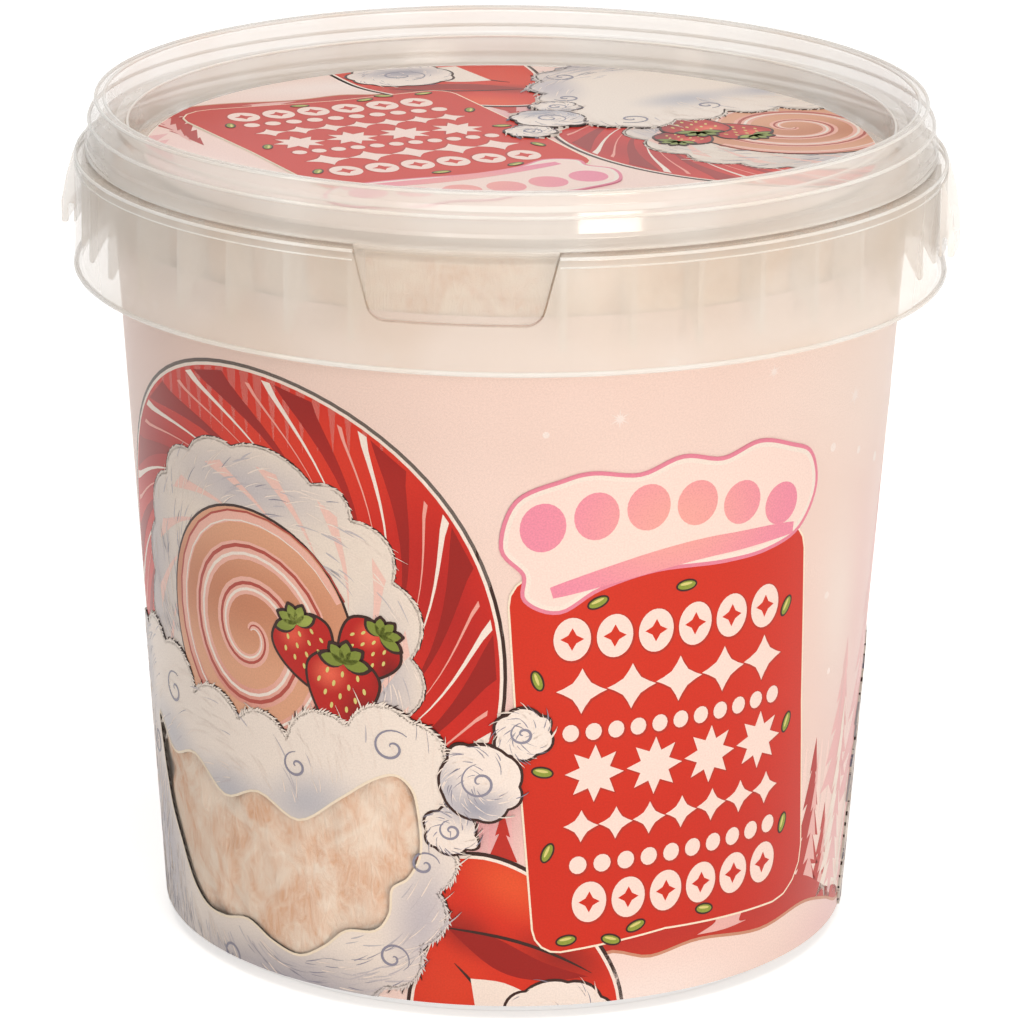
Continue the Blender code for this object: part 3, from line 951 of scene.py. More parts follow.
def field(outlines, level, mat, holes=(), where=("sleeve", "disc"), starts=(), low=NO_LIMIT):
    """One ink: closed outlines, filled, and brush marks, as a plate on its own level."""
    for place in where:
        flat = place == "disc"
        bm = bmesh.new()
        for outline in outlines:
            filled(bm, outline, () if flat else holes)
        marks(bm, starts, flat)
        trimmed(bm, flat, low)
        if outlines and bm.verts and not flat:
            cut_columns(bm)
        if bm.faces:
            wrapped(bm, mat, PRINT_LIFT + level * PRINT_STEP, flat=flat)
        else:
            bm.free()


def brush(starts, level, mat, low=NO_LIMIT):
    """Brush marks of one ink, all on one level."""
    field((), level, mat, starts=starts, low=low)


def keyed(outline, level, line, rim, fill, grow, shrink, low=NO_LIMIT):
    """A shape inked as an illustrator does: a key line, a light rim, then its fill."""
    for step, (distance, mat) in enumerate(((grow, line), (0.0, rim), (-shrink, fill))):
        field([offset(outline, distance)], level + step, mat, low=low)


def contains(outline, s, z):
    """Whether a point lies inside an outline."""
    inside = False
    for a, b in zip(outline, outline[1:] + outline[:1]):
        if (a[1] > z) != (b[1] > z) and s < a[0] + (b[0] - a[0]) * (z - a[1]) / (b[1] - a[1]):
            inside = not inside
    return inside


def scattered(count, seed, inside, heading, length, width, curl, keep=None):
    """Starts for brush marks, strewn over an area and combed by a rule."""
    rng = random.Random(seed)
    low = [min(p[a] for p in inside) for a in (0, 1)]
    high = [max(p[a] for p in inside) for a in (0, 1)]
    starts = []
    for _ in range(count * TRIES):
        if len(starts) == count:
            break
        s, z = rng.uniform(low[0], high[0]), rng.uniform(low[1], high[1])
        if contains(inside, s, z) and (keep is None or rng.random() < keep(s, z)):
            starts.append((s, z, heading(s, z) + rng.gauss(0.0, 9.0), length * rng.uniform(0.6, 1.3),
                           width * rng.uniform(0.6, 1.3), curl * rng.uniform(0.3, 1.2)))
    return starts


print("sleeve seam at", round(SEAM, 1), "mm from the tab")

# %% [markdown]
# ## Inks
# Offset ink under a clear film has an even satin gloss, a fine speckle from the
# press, and soft shading where the artist blended one ink into another. One
# recipe makes each ink from its base colour and a few soft spots of other
# colours, placed in the flat artwork's own millimetres through its UV map.

# %% Ink recipe
SPECKLE_MM = 0.28            # coarser than a real screen dot, so that it shows
INK_ROUGHNESS = 0.36
INK_GLOSS = 0.28


def ink(name, base, spots=(), speckle=0.07):
    """Printed ink; a spot is (s, z, wide, high, turn, colour, strength)."""
    mat, tree, shader = new_material(name)
    flat = add(tree, "ShaderNodeUVMap", uv_map="print").outputs[0]
    colour = linear(base)
    for s, z, wide, high, turn, spot, strength in spots:
        place = add(tree, "ShaderNodeMapping", {
            "Vector": flat, "Location": (s / UV_MM, z / UV_MM, 0.0),
            "Rotation": (0.0, 0.0, math.radians(turn)), "Scale": (wide / UV_MM, high / UV_MM, 1.0),
        }, vector_type="TEXTURE")
        ball = add(tree, "ShaderNodeTexGradient", {"Vector": place.outputs[0]},
                   gradient_type="SPHERICAL")
        ease = add(tree, "ShaderNodeMapRange", {"Value": ball.outputs[1], 4: strength},
                   interpolation_type="SMOOTHSTEP")
        colour = blend(tree, ease.outputs[0], colour, spot)
    grain = add(tree, "ShaderNodeTexNoise", {"Vector": flat, "Scale": UV_MM / SPECKLE_MM,
                                             "Detail": 1.0})
    dots = add(tree, "ShaderNodeMapRange", {"Value": grain.outputs[0], 1: 0.3, 2: 0.7,
                                            3: 1.0 - speckle, 4: 1.0 + 0.5 * speckle})
    tint = add(tree, "ShaderNodeVectorMath", {0: colour[:3] if isinstance(colour, tuple) else colour,
                                              "Scale": dots.outputs[0]}, operation="SCALE")
    tree.links.new(tint.outputs[0], shader.inputs["Base Color"])
    shader.inputs["Roughness"].default_value = INK_ROUGHNESS
    shader.inputs["Specular IOR Level"].default_value = INK_GLOSS
    return mat


ground_ink = ink("Offset ink, blush ground", "#F4D8CF", (
    (20.0, 60.0, 60.0, 70.0, 0.0, "#F6DCD1", 0.9),
    (75.0, 100.0, 45.0, 40.0, 20.0, "#F8E4DA", 1.0),
    (80.0, 50.0, 24.0, 40.0, 0.0, "#F2CFCC", 0.9),
    (68.0, 58.0, 10.0, 26.0, 8.0, "#F8E8E0", 0.8),
    (2.0, 38.0, 16.0, 26.0, 0.0, "#DD8F98", 1.0),
    (-30.0, 104.0, 50.0, 26.0, 0.0, "#F6DACE", 0.8),
))
white_ink = ink("Offset ink, warm white", "#F3E4D9")
brown_ink = ink("Offset ink, key line", "#33180F", speckle=0.03)
red_ink = ink("Offset ink, panel red", "#CB2A12", (
    (20.0, 65.0, 50.0, 40.0, 0.0, "#D03016", 0.7), (60.0, 14.0, 50.0, 40.0, 0.0, "#BF2615", 0.8)))
print("ground and key inks ready")

# %% [markdown]
# ## Clear window and ground
# The film has one clear window in each repeat. Its outline is a free curve like
# the edge of a puddle, and every ink leaves it open. The ground colour covers
# the rest of the sleeve.

# %% Window and ground
window = smooth([
    (-66.0, 35.4), (-59.0, 31.2), (-51.0, 33.2), (-43.0, 28.8), (-35.0, 31.4), (-27.0, 28.6),
    (-19.4, 33.4), (-14.0, 37.2), (-10.2, 38.6), (-7.8, 37.0),
    (-6.8, 34.0), (-6.3, 27.0), (-8.2, 22.6), (-11.0, 20.4), (-11.6, 16.2), (-14.0, 13.2),
    (-19.0, 12.4), (-23.0, 9.2), (-28.0, 6.6), (-33.5, 7.6), (-39.0, 9.8), (-45.0, 8.6),
    (-50.5, 8.8), (-55.0, 11.6), (-59.0, 17.0), (-62.6, 22.0), (-65.0, 29.0),
], 5)
bm = bmesh.new()
start = SEAM - 2.0 * REPEAT
filled(bm, [(start, PRINT_BOTTOM), (SEAM, PRINT_BOTTOM), (SEAM, LABEL_TOP), (start, LABEL_TOP)],
       [window, [(s - REPEAT, z) for s, z in window]])
cut_columns(bm)
wrapped(bm, ground_ink, PRINT_LIFT + PRINT_STEP, whole=True)
round_field = ellipse(*DISC_CENTRE, DISC_TRIM, DISC_TRIM, steps=DISC_SIDES)
field([round_field], 1, ground_ink, where=("disc",))
print("window of", len(window), "points in a ground", round(SEAM - start, 1), "mm long")

# %% [markdown]
# ## Hills, pines and snow
# The lower right of the artwork is a winter slope. A pine is one saw-toothed
# outline worked out by a function, and snow lies as a pale field with a soft
# upper edge.

# %% Landscape
def pine(s, z, height, width, tiers, waist=0.45):
    """A pine's saw-toothed outline, from its foot up and down again."""
    half = [(s + 0.08 * width, z - 0.06 * height)]
    for k in range(tiers):
        reach = 0.5 * width * (1.0 - k / tiers)
        base = z + height * (k / tiers) ** 1.08
        half.append((s + waist * reach, base + 0.03 * height))
        half.append((s + reach, base))
    mirrored = [(2.0 * s - a, b + 0.02 * height) for a, b in reversed(half)]
    return half + [(s, z + 1.03 * height)] + mirrored


pale_ink = ink("Offset ink, frosted rose", "#EDC0BE", ((80.0, 30.0, 20.0, 30.0, 0.0, "#E4A6A6", 0.8),))
hill_ink = ink("Offset ink, deep red", "#B92C20", (
    (40.0, 4.0, 60.0, 10.0, 0.0, "#C83722", 0.8), (62.0, 30.0, 12.0, 20.0, 0.0, "#A82A24", 0.7)))
frost_ink = ink("Offset ink, frost pink", "#E9B4AE")
snow_ink = ink("Offset ink, snow", "#F3DAD1", (
    (30.0, 2.0, 30.0, 8.0, 0.0, "#F7E6DF", 1.0), (80.0, 4.0, 26.0, 10.0, 0.0, "#EFCBC8", 1.0)))
tan_ink = ink("Offset ink, warm shadow", "#C98E72")

field([
    pine(88.0, 20.0, 54.0, 26.0, 7), pine(74.0, 26.0, 24.0, 12.0, 5), pine(99.0, 14.0, 34.0, 18.0, 6),
    pine(-84.0 + REPEAT, 22.0, 30.0, 14.0, 5),
], 2, pale_ink)
field([
    pine(58.5, 12.0, 25.0, 11.0, 5), pine(65.0, 10.0, 26.0, 12.0, 5), pine(70.5, 8.0, 16.0, 8.0, 4),
    pine(-0.5, 20.0, 14.0, 8.0, 3), pine(6.5, 22.0, 12.0, 7.0, 3), pine(-5.0, 22.0, 10.0, 6.0, 3),
], 3, hill_ink)
field([
    pine(66.2, 12.0, 21.0, 5.0, 5, 0.2), pine(59.6, 14.0, 20.0, 4.4, 5, 0.2),
    pine(71.3, 10.0, 12.0, 3.4, 4, 0.2),
], 4, frost_ink)
field([pine(75.5, 8.0, 31.0, 11.0, 7), pine(83.0, 6.0, 20.0, 8.0, 5)], 5, white_ink)
field([pine(76.4, 9.0, 27.0, 6.0, 7, 0.3), pine(83.6, 7.0, 17.0, 4.2, 5, 0.3)],
      6, pale_ink)
field([smooth([
    (9.0, -9.0, 0), (9.0, 22.0, 0), (30.0, 20.0), (52.0, 17.0), (64.0, 14.5), (74.0, 9.5), (84.0, 5.2),
    (90.0, -9.0, 0)], 6)], 5, hill_ink)
field([smooth([
    (21.5, -9.0, 0), (22.0, 9.4), (31.0, 9.0), (40.0, 10.3), (53.0, 8.9), (64.6, 9.9), (74.0, 7.8),
    (84.0, 4.6), (99.0, 6.2, 0), (99.0, -9.0, 0)], 6)], 6, tan_ink)
field([smooth([
    (21.8, -9.0, 0), (22.2, 8.9), (31.0, 8.5), (40.0, 9.8), (53.0, 8.4), (64.6, 9.4), (74.0, 7.3),
    (84.0, 4.1), (99.0, 5.7, 0), (99.0, -9.0, 0)], 6)], 7, snow_ink)
field([smooth([
    (39.5, 10.8, 0), (43.0, 12.2), (42.0, 13.6, 0), (44.6, 13.2), (46.4, 16.0, 0), (47.4, 12.8),
    (49.0, 13.4, 0), (48.0, 11.4), (49.6, 11.0, 0), (45.0, 10.6)], 4)], 8, frost_ink)
print("ink runs after the slope:", len(runs))

# %% [markdown]
# ## Striped swirl
# The upper left holds one big round swirl of spun sugar, seen from above. Its
# outer turn is red with fifteen twisted stripes, each a curved wedge with a
# lighter line beside it. Below the swirl the artwork is cut level, because the
# cloud hides the rest.

# %% Striped swirl
SWIRL = (-34.0, 55.0)
SWIRL_WIDE, SWIRL_HIGH = 40.4, 43.8
SWIRL_LOW = 41.2
STRIPES = 15
STRIPE_PITCH = 360.0 / STRIPES
swirl_red = ink("Offset ink, swirl red", "#C92618", (
    (-30.0, 88.0, 44.0, 16.0, 0.0, "#DB3A22", 0.9), (-2.0, 66.0, 10.0, 26.0, 20.0, "#B11E18", 0.9),
    (-60.0, 80.0, 24.0, 12.0, 20.0, "#A81B16", 0.9)))
shade_ink = ink("Offset ink, swirl shade", "#96180F", ((-20.0, 84.0, 30.0, 12.0, 0.0, "#A91F15", 0.9),))
lane_ink = ink("Offset ink, swirl lane", "#EBA497")


def swirl_point(angle, share):
    """A point of the swirl, by its angle in degrees and its share of the radius."""
    turn = math.radians(angle)
    return (SWIRL[0] + share * SWIRL_WIDE * math.cos(turn), SWIRL[1] + share * SWIRL_HIGH * math.sin(turn))


def stripe(angle, wide, twist=-34.0, outer=0.975, inner=0.62, steps=9):
    """A curved wedge of the swirl, from its rim to a point further in."""
    first, other = [], []
    for k in range(steps + 1):
        t = k / steps
        middle = angle + twist * t ** 1.3
        first.append(swirl_point(middle, outer + (inner - outer) * t))
        other.append(swirl_point(middle + wide * (1.0 - t), outer + (inner - outer) * t))
    return first + other[-2::-1]


disc_of_sugar = ellipse(*SWIRL, SWIRL_WIDE, SWIRL_HIGH, steps=90)
keyed(disc_of_sugar, 4, brown_ink, white_ink, swirl_red, 0.55, 0.5, SWIRL_LOW)
turns = [STRIPE_PITCH * k for k in range(STRIPES)]
field([stripe(turn, 9.5) for turn in turns], 7, shade_ink, low=SWIRL_LOW)
field([stripe(turn + 10.5, 2.2) for turn in turns], 8, white_ink, low=SWIRL_LOW)
field([stripe(turn + 16.0, 1.2, outer=0.95) for turn in turns], 8, lane_ink, low=SWIRL_LOW)
print("ink runs after the swirl:", len(runs))

# %% [markdown]
# ## White floss
# The swirl's second turn is white floss. Its edge is a row of round lobes with
# short wisps, and faint blush stripes run on inwards from the red. Over the flat
# white come hundreds of fine tapered brush marks that wind round the middle,
# grey on the inner part and white all over.

# %% White floss
floss_white = ink("Offset ink, floss white", "#EBDDD0", (
    (-64.0, 60.0, 16.0, 34.0, 0.0, "#B4ADB2", 0.8), (-35.0, 80.0, 24.0, 8.0, 0.0, "#B9B3BB", 0.7),
    (-12.0, 52.0, 8.0, 20.0, 0.0, "#B3AEB8", 0.7)))
blush_ink = ink("Offset ink, blush stripe", "#EFC6BA")
cool_grey = ink("Offset ink, cool grey", "#8E8B9B")
soft_grey = ink("Offset ink, soft grey", "#C3BBBE")


def cloud(s, z, wide, high, lobes, swell, seed):
    """A closed edge of uneven round lobes set about an ellipse."""
    rng = random.Random(seed)
    path = []
    for k in range(lobes):
        turn = math.tau * (k + rng.uniform(-0.2, 0.2)) / lobes
        path.append((s + wide * math.cos(turn), z + high * math.sin(turn),
                     swell * rng.uniform(0.7, 1.3)))
    return lobed(path, swell)


def winding(s, z, lean):
    """A rule for marks that wind round a point and lean outwards."""
    return lambda a, b: math.degrees(math.atan2(b - z, a - s)) + lean


def near_rim(s, z, wide, high):
    """A rule that keeps marks on the inner part of a ring and thins them outwards."""
    def keep(a, b):
        reach = math.hypot((a - s) / wide, (b - z) / high)
        return min(max(1.0 - 3.2 * (reach - 0.62), 0.03), 1.0)
    return keep


TURN = (-35.0, 57.0)
wind = winding(*TURN, -66.0)
turn_edge = cloud(*TURN, 27.6, 28.8, 16, 2.3, 5)
field([cloud(*TURN, 28.0, 29.2, 16, 2.35, 5)], 9, brown_ink, low=SWIRL_LOW,
      starts=fringe(turn_edge, 1.1, 1.5, -54.0, 0.34, 4))
field([turn_edge], 10, floss_white, starts=fringe(turn_edge, 0.9, 0.5, -54.0, 0.42, 3), low=SWIRL_LOW)
field([stripe(turn + 6.0, 8.0, -30.0, 0.66, 0.46) for turn in turns], 11, blush_ink, low=SWIRL_LOW)
for count, seed, length, width, curl, keep, level, mat in (
        (260, 5, 4.0, 0.26, -24.0, near_rim(*TURN, 30.0, 31.0), 12, soft_grey),
        (120, 6, 3.0, 0.13, -22.0, near_rim(*TURN, 27.0, 28.0), 13, cool_grey),
        (300, 7, 3.6, 0.18, -22.0, None, 13, white_ink)):
    brush(scattered(count, seed, turn_edge, wind, length, width, curl, keep), level, mat, SWIRL_LOW)
print("the floss turn has", len(turn_edge), "points round its lobes")

# %% [markdown]
# ## Peach turns and berries
# The middle of the swirl winds up in rose and peach. A turn is a spiral centre
# line worked out by a formula, with a width that swells and fades along it.
# Three berries lie on its lower right.

# %% Peach turns and berries
def spiral(s, z, wide, high, turns, start, steps=90):
    """A spiral that shrinks towards its middle."""
    path = []
    for k in range(steps + 1):
        t = k / steps
        reach = (1.0 - t) ** 0.85 + 0.03
        angle = math.radians(start) + math.tau * turns * t
        path.append((s + wide * reach * math.cos(angle), z + high * reach * math.sin(angle)))
    return path


peach_ink = ink("Offset ink, peach", "#DFA483", ((-40.0, 62.0, 44.0, 12.0, 0.0, "#C27A58", 0.8),
                                                 (-60.0, 48.0, 20.0, 12.0, 0.0, "#E5AE8E", 0.8)))
rose_ink = ink("Offset ink, floss rose", "#EDB6A6", ((-46.0, 44.0, 30.0, 12.0, 0.0, "#D07A68", 0.8),))
turn_line = ink("Offset ink, turn line", "#B24C40")
berry_ink = ink("Offset ink, berry red", "#B81D16", (
    (-20.4, 53.6, 4.0, 3.6, 0.0, "#EE6A50", 0.9), (-26.6, 58.6, 3.4, 3.2, 0.0, "#E85C46", 0.9),
    (-13.6, 60.6, 3.2, 3.0, 0.0, "#E85C46", 0.9), (-14.6, 47.2, 6.0, 7.0, 0.0, "#6E0D0C", 0.9),
    (-10.6, 54.4, 4.0, 6.0, 0.0, "#6E0D0C", 0.9)))
leaf_ink = ink("Offset ink, leaf green", "#7E8B36", ((-22.0, 61.0, 9.0, 3.0, 0.0, "#A9B457", 0.9),))
seed_ink = ink("Offset ink, seed", "#8E9A3A", speckle=0.12)
seed_light = ink("Offset ink, seed light", "#D9CE7C")

hollow = ellipse(*TURN, 18.6, 19.6, steps=60)
field([offset(hollow, 0.4)], 14, brown_ink, low=SWIRL_LOW)
field([hollow], 15, peach_ink, low=SWIRL_LOW)
field([ribbon(spiral(*TURN, 17.6, 18.6, 3.2, 24.0), 3.0, 0.3)], 16, rose_ink, low=SWIRL_LOW)
field([ribbon(spiral(*TURN, 18.6, 19.6, 3.2, 24.0), 0.6, 0.3)], 17, turn_line, low=SWIRL_LOW)
field([ribbon(spiral(*TURN, 17.0, 18.0, 3.1, 30.0), 0.5, 0.2)], 17, white_ink, low=SWIRL_LOW)


def berry(s, z, size, turn):
    """A heart-shaped berry that tapers to a soft point."""
    shape = [(-0.10, 0.86), (-0.55, 0.94), (-0.96, 0.55), (-0.88, -0.05), (-0.45, -0.75),
             (0.0, -1.10), (0.45, -0.75), (0.88, -0.05), (0.96, 0.55), (0.55, 0.94), (0.10, 0.86)]
    c, d = math.cos(math.radians(turn)), math.sin(math.radians(turn))
    return smooth([(s + size * (c * x - d * y), z + size * (d * x + c * y)) for x, y in shape], 5)


def leaf(s, z, length, wide, angle):
    """A pointed leaf that droops along its length."""
    path = []
    for k in range(7):
        turn = math.radians(angle)
        path.append((s + length * k / 6 * math.cos(turn),
                     z + length * (k / 6 * math.sin(turn) - 0.03 * k)))
    return ribbon(path, wide, 0.12)


def berry_seeds(s, z, size, turn):
    """Rows of small seeds, staggered."""
    c, d = math.cos(math.radians(turn)), math.sin(math.radians(turn))
    rows = ((0.50, 3), (0.20, 4), (-0.10, 3), (-0.40, 2), (-0.70, 1))
    places = [((i - 0.5 * (n - 1)) * 0.42, y) for y, n in rows for i in range(n)]
    return [ellipse(s + size * (c * x - d * y), z + size * (d * x + c * y),
                    0.045 * size, 0.085 * size, turn + 30.0 * x, 10) for x, y in places]


berries = ((18, -14.6, 57.6, 5.0, -40.0), (20, -24.4, 56.4, 5.4, 20.0), (22, -18.6, 50.8, 6.0, -8.0))
for level, s, z, size, turn in berries:
    stalk = (s - 0.8 * size * math.sin(math.radians(turn)),
             z + 0.8 * size * math.cos(math.radians(turn)))
    field([offset(berry(s, z, size, turn), 0.45)], level, brown_ink)
    field([berry(s, z, size, turn)], level + 1, berry_ink)
    field(berry_seeds(s, z, size, turn), level + 2, seed_light)
    for swing in (-76.0, -38.0, 0.0, 38.0, 76.0):
        field([leaf(*stalk, 0.78 * size, 0.46 * size, turn + 90.0 + swing)], level + 2, brown_ink)
        field([leaf(*stalk, 0.66 * size, 0.32 * size, turn + 90.0 + swing)], level + 3, leaf_ink)
print("berries:", len(berries))

# %% [markdown]
# ## Floss round the window
# The lower cloud of white floss surrounds the clear window like a soft frame,
# and a thin pale line runs round the window's edge. Small curls are drawn
# where its lobes meet.

# %% Floss frame
frame_white = ink("Offset ink, floss frame", "#F1E4D9", (
    (-30.0, 0.0, 40.0, 11.0, 0.0, "#9C9AA8", 0.9), (-68.0, 14.0, 14.0, 28.0, 14.0, "#9B99A7", 0.8),
    (-6.0, 16.0, 8.0, 16.0, -12.0, "#B5B0BB", 0.75), (-60.0, 34.0, 14.0, 7.0, -10.0, "#B0B1BC", 0.7),
    (-42.0, 30.0, 14.0, 7.0, 0.0, "#AFB1BD", 0.75), (-25.0, 32.0, 13.0, 7.5, 14.0, "#AFB1BD", 0.75),
    (-73.0, 42.0, 8.0, 16.0, 0.0, "#B5B1B8", 0.8)))
frame_edge = lobed([
    (-92.0, 10.0, 3.0), (-90.0, 20.0, 2.6), (-91.0, 30.0, 3.0), (-86.0, 39.0, 3.0), (-78.0, 44.0, 3.0),
    (-70.0, 48.0, 3.0), (-60.0, 48.6, 3.0), (-50.0, 43.6, 3.4), (-38.6, 42.4, 3.0),
    (-28.6, 41.6, 2.8), (-17.6, 45.6, 3.4), (-7.6, 47.6, 3.0), (-3.4, 38.6, 3.0), (-3.0, 29.6, 2.6),
    (-3.6, 20.4, 2.8), (-6.4, 11.4, 2.8), (-12.6, 4.0, 2.8), (-20.0, -3.0, 0.0), (-26.0, -7.0, 0.0),
    (-86.0, -9.0, 0.0), (-90.0, 1.0, 2.6)], 0.0)
frame_rim = [(s + 0.45, z + 0.4) for s, z in frame_edge]
field([frame_rim], 26, brown_ink, [window], starts=fringe(frame_edge, 1.3, 1.9, 40.0, 0.34, 8))
field([frame_edge], 27, frame_white, [window], starts=fringe(frame_edge, 1.1, 0.55, 40.0, 0.46, 9))


def off_window(keep):
    """Keep marks that start clear of the window."""
    grown = offset(window, 1.2)
    return lambda s, z: 0.0 if contains(grown, s, z) else keep(s, z)


def frame_shade(s, z):
    """Grey gathers at the cloud's lower and left rim."""
    return min(max((20.0 - z) / 16.0, (-60.0 - s) / 20.0, 0.12), 1.0)


frame_heading = winding(-36.0, 24.0, 58.0)
for count, seed, length, width, keep, level, mat in (
        (420, 15, 4.2, 0.26, frame_shade, 28, soft_grey),
        (320, 16, 3.2, 0.13, lambda s, z: frame_shade(s, z) ** 2, 29, cool_grey),
        (420, 17, 3.6, 0.18, lambda s, z: 1.0, 30, white_ink)):
    brush(scattered(count, seed, frame_edge, frame_heading, length, width, 20.0, off_window(keep)),
          level, mat)
curls = [ribbon(spiral(s, z, size, 0.9 * size, 1.3, start, 30), 0.42, 0.2) for s, z, size, start in (
    (-57.0, 42.0, 3.2, 60.0), (-27.0, 37.6, 2.4, 90.0), (-10.6, 43.2, 3.2, 40.0), (-5.6, 24.8, 2.4, 10.0),
    (-11.0, 9.0, 2.8, -30.0), (-44.0, 2.6, 2.8, 240.0), (-69.6, 30.0, 3.0, 160.0))]
field(curls, 31, cool_grey)
edge_ink = ink("Offset ink, window edge", "#F6E6CF")
field([offset(window, 0.38)], 31, edge_ink, [window], where=("sleeve",))
print("curls on the cloud:", len(curls))

# %% [markdown]
# ## Red mound and balls of floss
# Below the swirl a red mound fills the space to the panel, and balls of white
# floss lie about it. Each ball is a cloud over a slightly larger dark one, with
# a curl drawn on it.

# %% Mound and balls
mound_ink = ink("Offset ink, mound red", "#D23019", (
    (8.0, 22.0, 12.0, 7.0, -30.0, "#E4552B", 0.9), (-2.0, 4.0, 12.0, 14.0, 0.0, "#DB4526", 0.6),
    (16.0, 10.0, 12.0, 6.0, -20.0, "#8E1C12", 0.9), (1.0, 14.0, 9.0, 5.0, -30.0, "#8E1C12", 0.85)))
puff_white = ink("Offset ink, puff white", "#F3E6DD", (
    (2.8, 34.4, 8.0, 4.8, 0.0, "#9A9CAC", 0.9), (-2.4, 37.4, 4.0, 7.0, 10.0, "#ADAEBB", 0.7),
    (15.0, -4.0, 12.0, 6.0, 0.0, "#9A99A8", 0.9)))
mound = smooth([
    (-9.0, -9.0, 0), (-8.0, 4.0), (-4.6, 14.0), (-2.6, 26.4, 0), (3.6, 26.6), (9.4, 24.6), (15.0, 20.6),
    (21.0, 13.0), (25.6, 4.0), (27.0, -9.0, 0)], 6)
keyed(mound, 7, brown_ink, white_ink, mound_ink, 0.6, 0.5)
field([smooth([(-2.8, 15.4, 0), (5.0, 13.6), (13.0, 9.4), (20.4, 6.6, 0), (12.0, 6.4), (5.0, 8.6)], 5)],
      10, shade_ink)
long_crease = [(-3.0 + 24.0 * t, 14.8 - 9.0 * t + 2.6 * math.sin(2.6 * t))
               for t in (k / 14 for k in range(15))]
short_crease = [(-1.0 + 9.0 * t, 9.0 - 13.0 * t + 1.4 * math.sin(3.0 * t))
                for t in (k / 10 for k in range(11))]
field([ribbon(path, 0.55) for path in (long_crease, short_crease)], 11, brown_ink)
field([smooth([(3.6, -6.0, 0), (1.6, 6.6, 0), (7.0, 6.0), (12.6, 3.2, 0), (14.0, -6.0, 0)], 4)], 12,
      white_ink)
balls = ((15.6, -1.8, 9.0, 7.6, 9, 13), (-1.4, 30.6, 3.6, 3.4, 6, 32), (9.4, 46.4, 3.8, 3.6, 6, 32),
         (3.0, 38.6, 5.8, 5.8, 7, 36))
for seed, (s, z, wide, high, lobes, level) in enumerate(balls):
    rim = cloud(s, z, wide, high, lobes, 1.1, seed)
    field([cloud(s, z, wide + 0.45, high + 0.45, lobes, 1.15, seed)], level, brown_ink)
    field([rim], level + 1, puff_white)
    brush(scattered(30, 31 + seed, rim, winding(s, z, 60.0), 2.0, 0.14, 30.0), level + 2, cool_grey)
    brush(scattered(50, 51 + seed, rim, winding(s, z, 60.0), 2.0, 0.17, 30.0), level + 2, white_ink)
    curl = ribbon(spiral(s, z, 0.52 * wide, 0.5 * high, 1.4, 100.0, 40), 0.42, 0.2)
    field([curl], level + 3, cool_grey)
print("balls of floss:", len(balls))

# %% [markdown]
# ## Red panel
# The round-cornered red panel carries seven rows of plain winter shapes, the
# kind that is knitted into a pullover: discs, diamonds, stars and dots. Each
# row climbs slightly to the right. Seeds are strewn over the border.

# %% Panel and its rows
panel = rounded([
    (6.9, 70.8, 4.5), (28.6, 72.9), (55.7, 74.4, 5.0), (58.9, 44.5), (63.5, 12.4, 6.5), (33.3, 13.2),
    (11.8, 10.6, 4.0), (9.0, 40.6)])
field([offset(panel, 0.32)], 13, edge_ink)
field([panel], 14, red_ink)


def star(s, z, radius, points, waist, turn=90.0):
    """A star with any number of points."""
    result = []
    for k in range(2 * points):
        reach = radius if k % 2 == 0 else waist * radius
        angle = math.radians(turn) + math.pi * k / points
        result.append((s + reach * math.cos(angle), z + reach * math.sin(angle)))
    return result


def diamond(s, z, wide, high):
    """A diamond with slightly hollow sides."""
    return smooth([(s + wide, z, 0), (s + 0.36 * wide, z + 0.36 * high), (s, z + high, 0),
                   (s - 0.36 * wide, z + 0.36 * high), (s - wide, z, 0),
                   (s - 0.36 * wide, z - 0.36 * high), (s, z - high, 0),
                   (s + 0.36 * wide, z - 0.36 * high)], 2)


ROW_RIGHT, ROW_LEAN = 38.5, 1.2     # how far a row runs and how much it climbs
rows = (      # left, low, high, shapes, kind
    (13.2, 57.8, 6.8, 6, "disc"), (14.2, 49.5, 6.9, 5, "diamond"), (14.8, 44.6, 3.4, 11, "dot"),
    (15.6, 35.6, 8.2, 4, "star"), (15.8, 28.8, 5.0, 7, "diamond"), (16.3, 23.2, 3.6, 10, "dot"),
    (17.0, 15.6, 6.6, 6, "disc"))
shapes = []
for left, low, high, count, kind in rows:
    pitch = ROW_RIGHT / count
    for k in range(count):
        s = left + (k + 0.5) * pitch
        z = low + 0.5 * high + ROW_LEAN * k / count
        half = 0.5 * min(0.92 * pitch, high)
        if kind == "disc":
            shapes.append(ellipse(s, z, 0.94 * half, 0.5 * high, 0.0, 28))
        elif kind == "diamond":
            shapes.append(diamond(s, z, 0.5 * pitch, 0.52 * high))
        elif kind == "dot":
            shapes.append(ellipse(s, z, 0.36 * pitch, 0.40 * high, 0.0, 14))
        else:
            shapes.append(star(s, z, 0.56 * high, 8, 0.55))
pale_ink_bold = ink("Offset ink, pale rose", "#F7DDD3")
row_shade = ink("Offset ink, row shade", "#B3301F")
field([offset([(s + 0.12, z - 0.15) for s, z in shape], 0.22) for shape in shapes], 15, row_shade)
field(shapes, 16, pale_ink_bold)
middles = [star(left + (k + 0.5) * ROW_RIGHT / count, low + 0.5 * high + ROW_LEAN * k / count,
                0.26 * high, 4, 0.5)
           for left, low, high, count, kind in rows if kind == "disc" for k in range(count)]
field(middles, 17, red_ink)

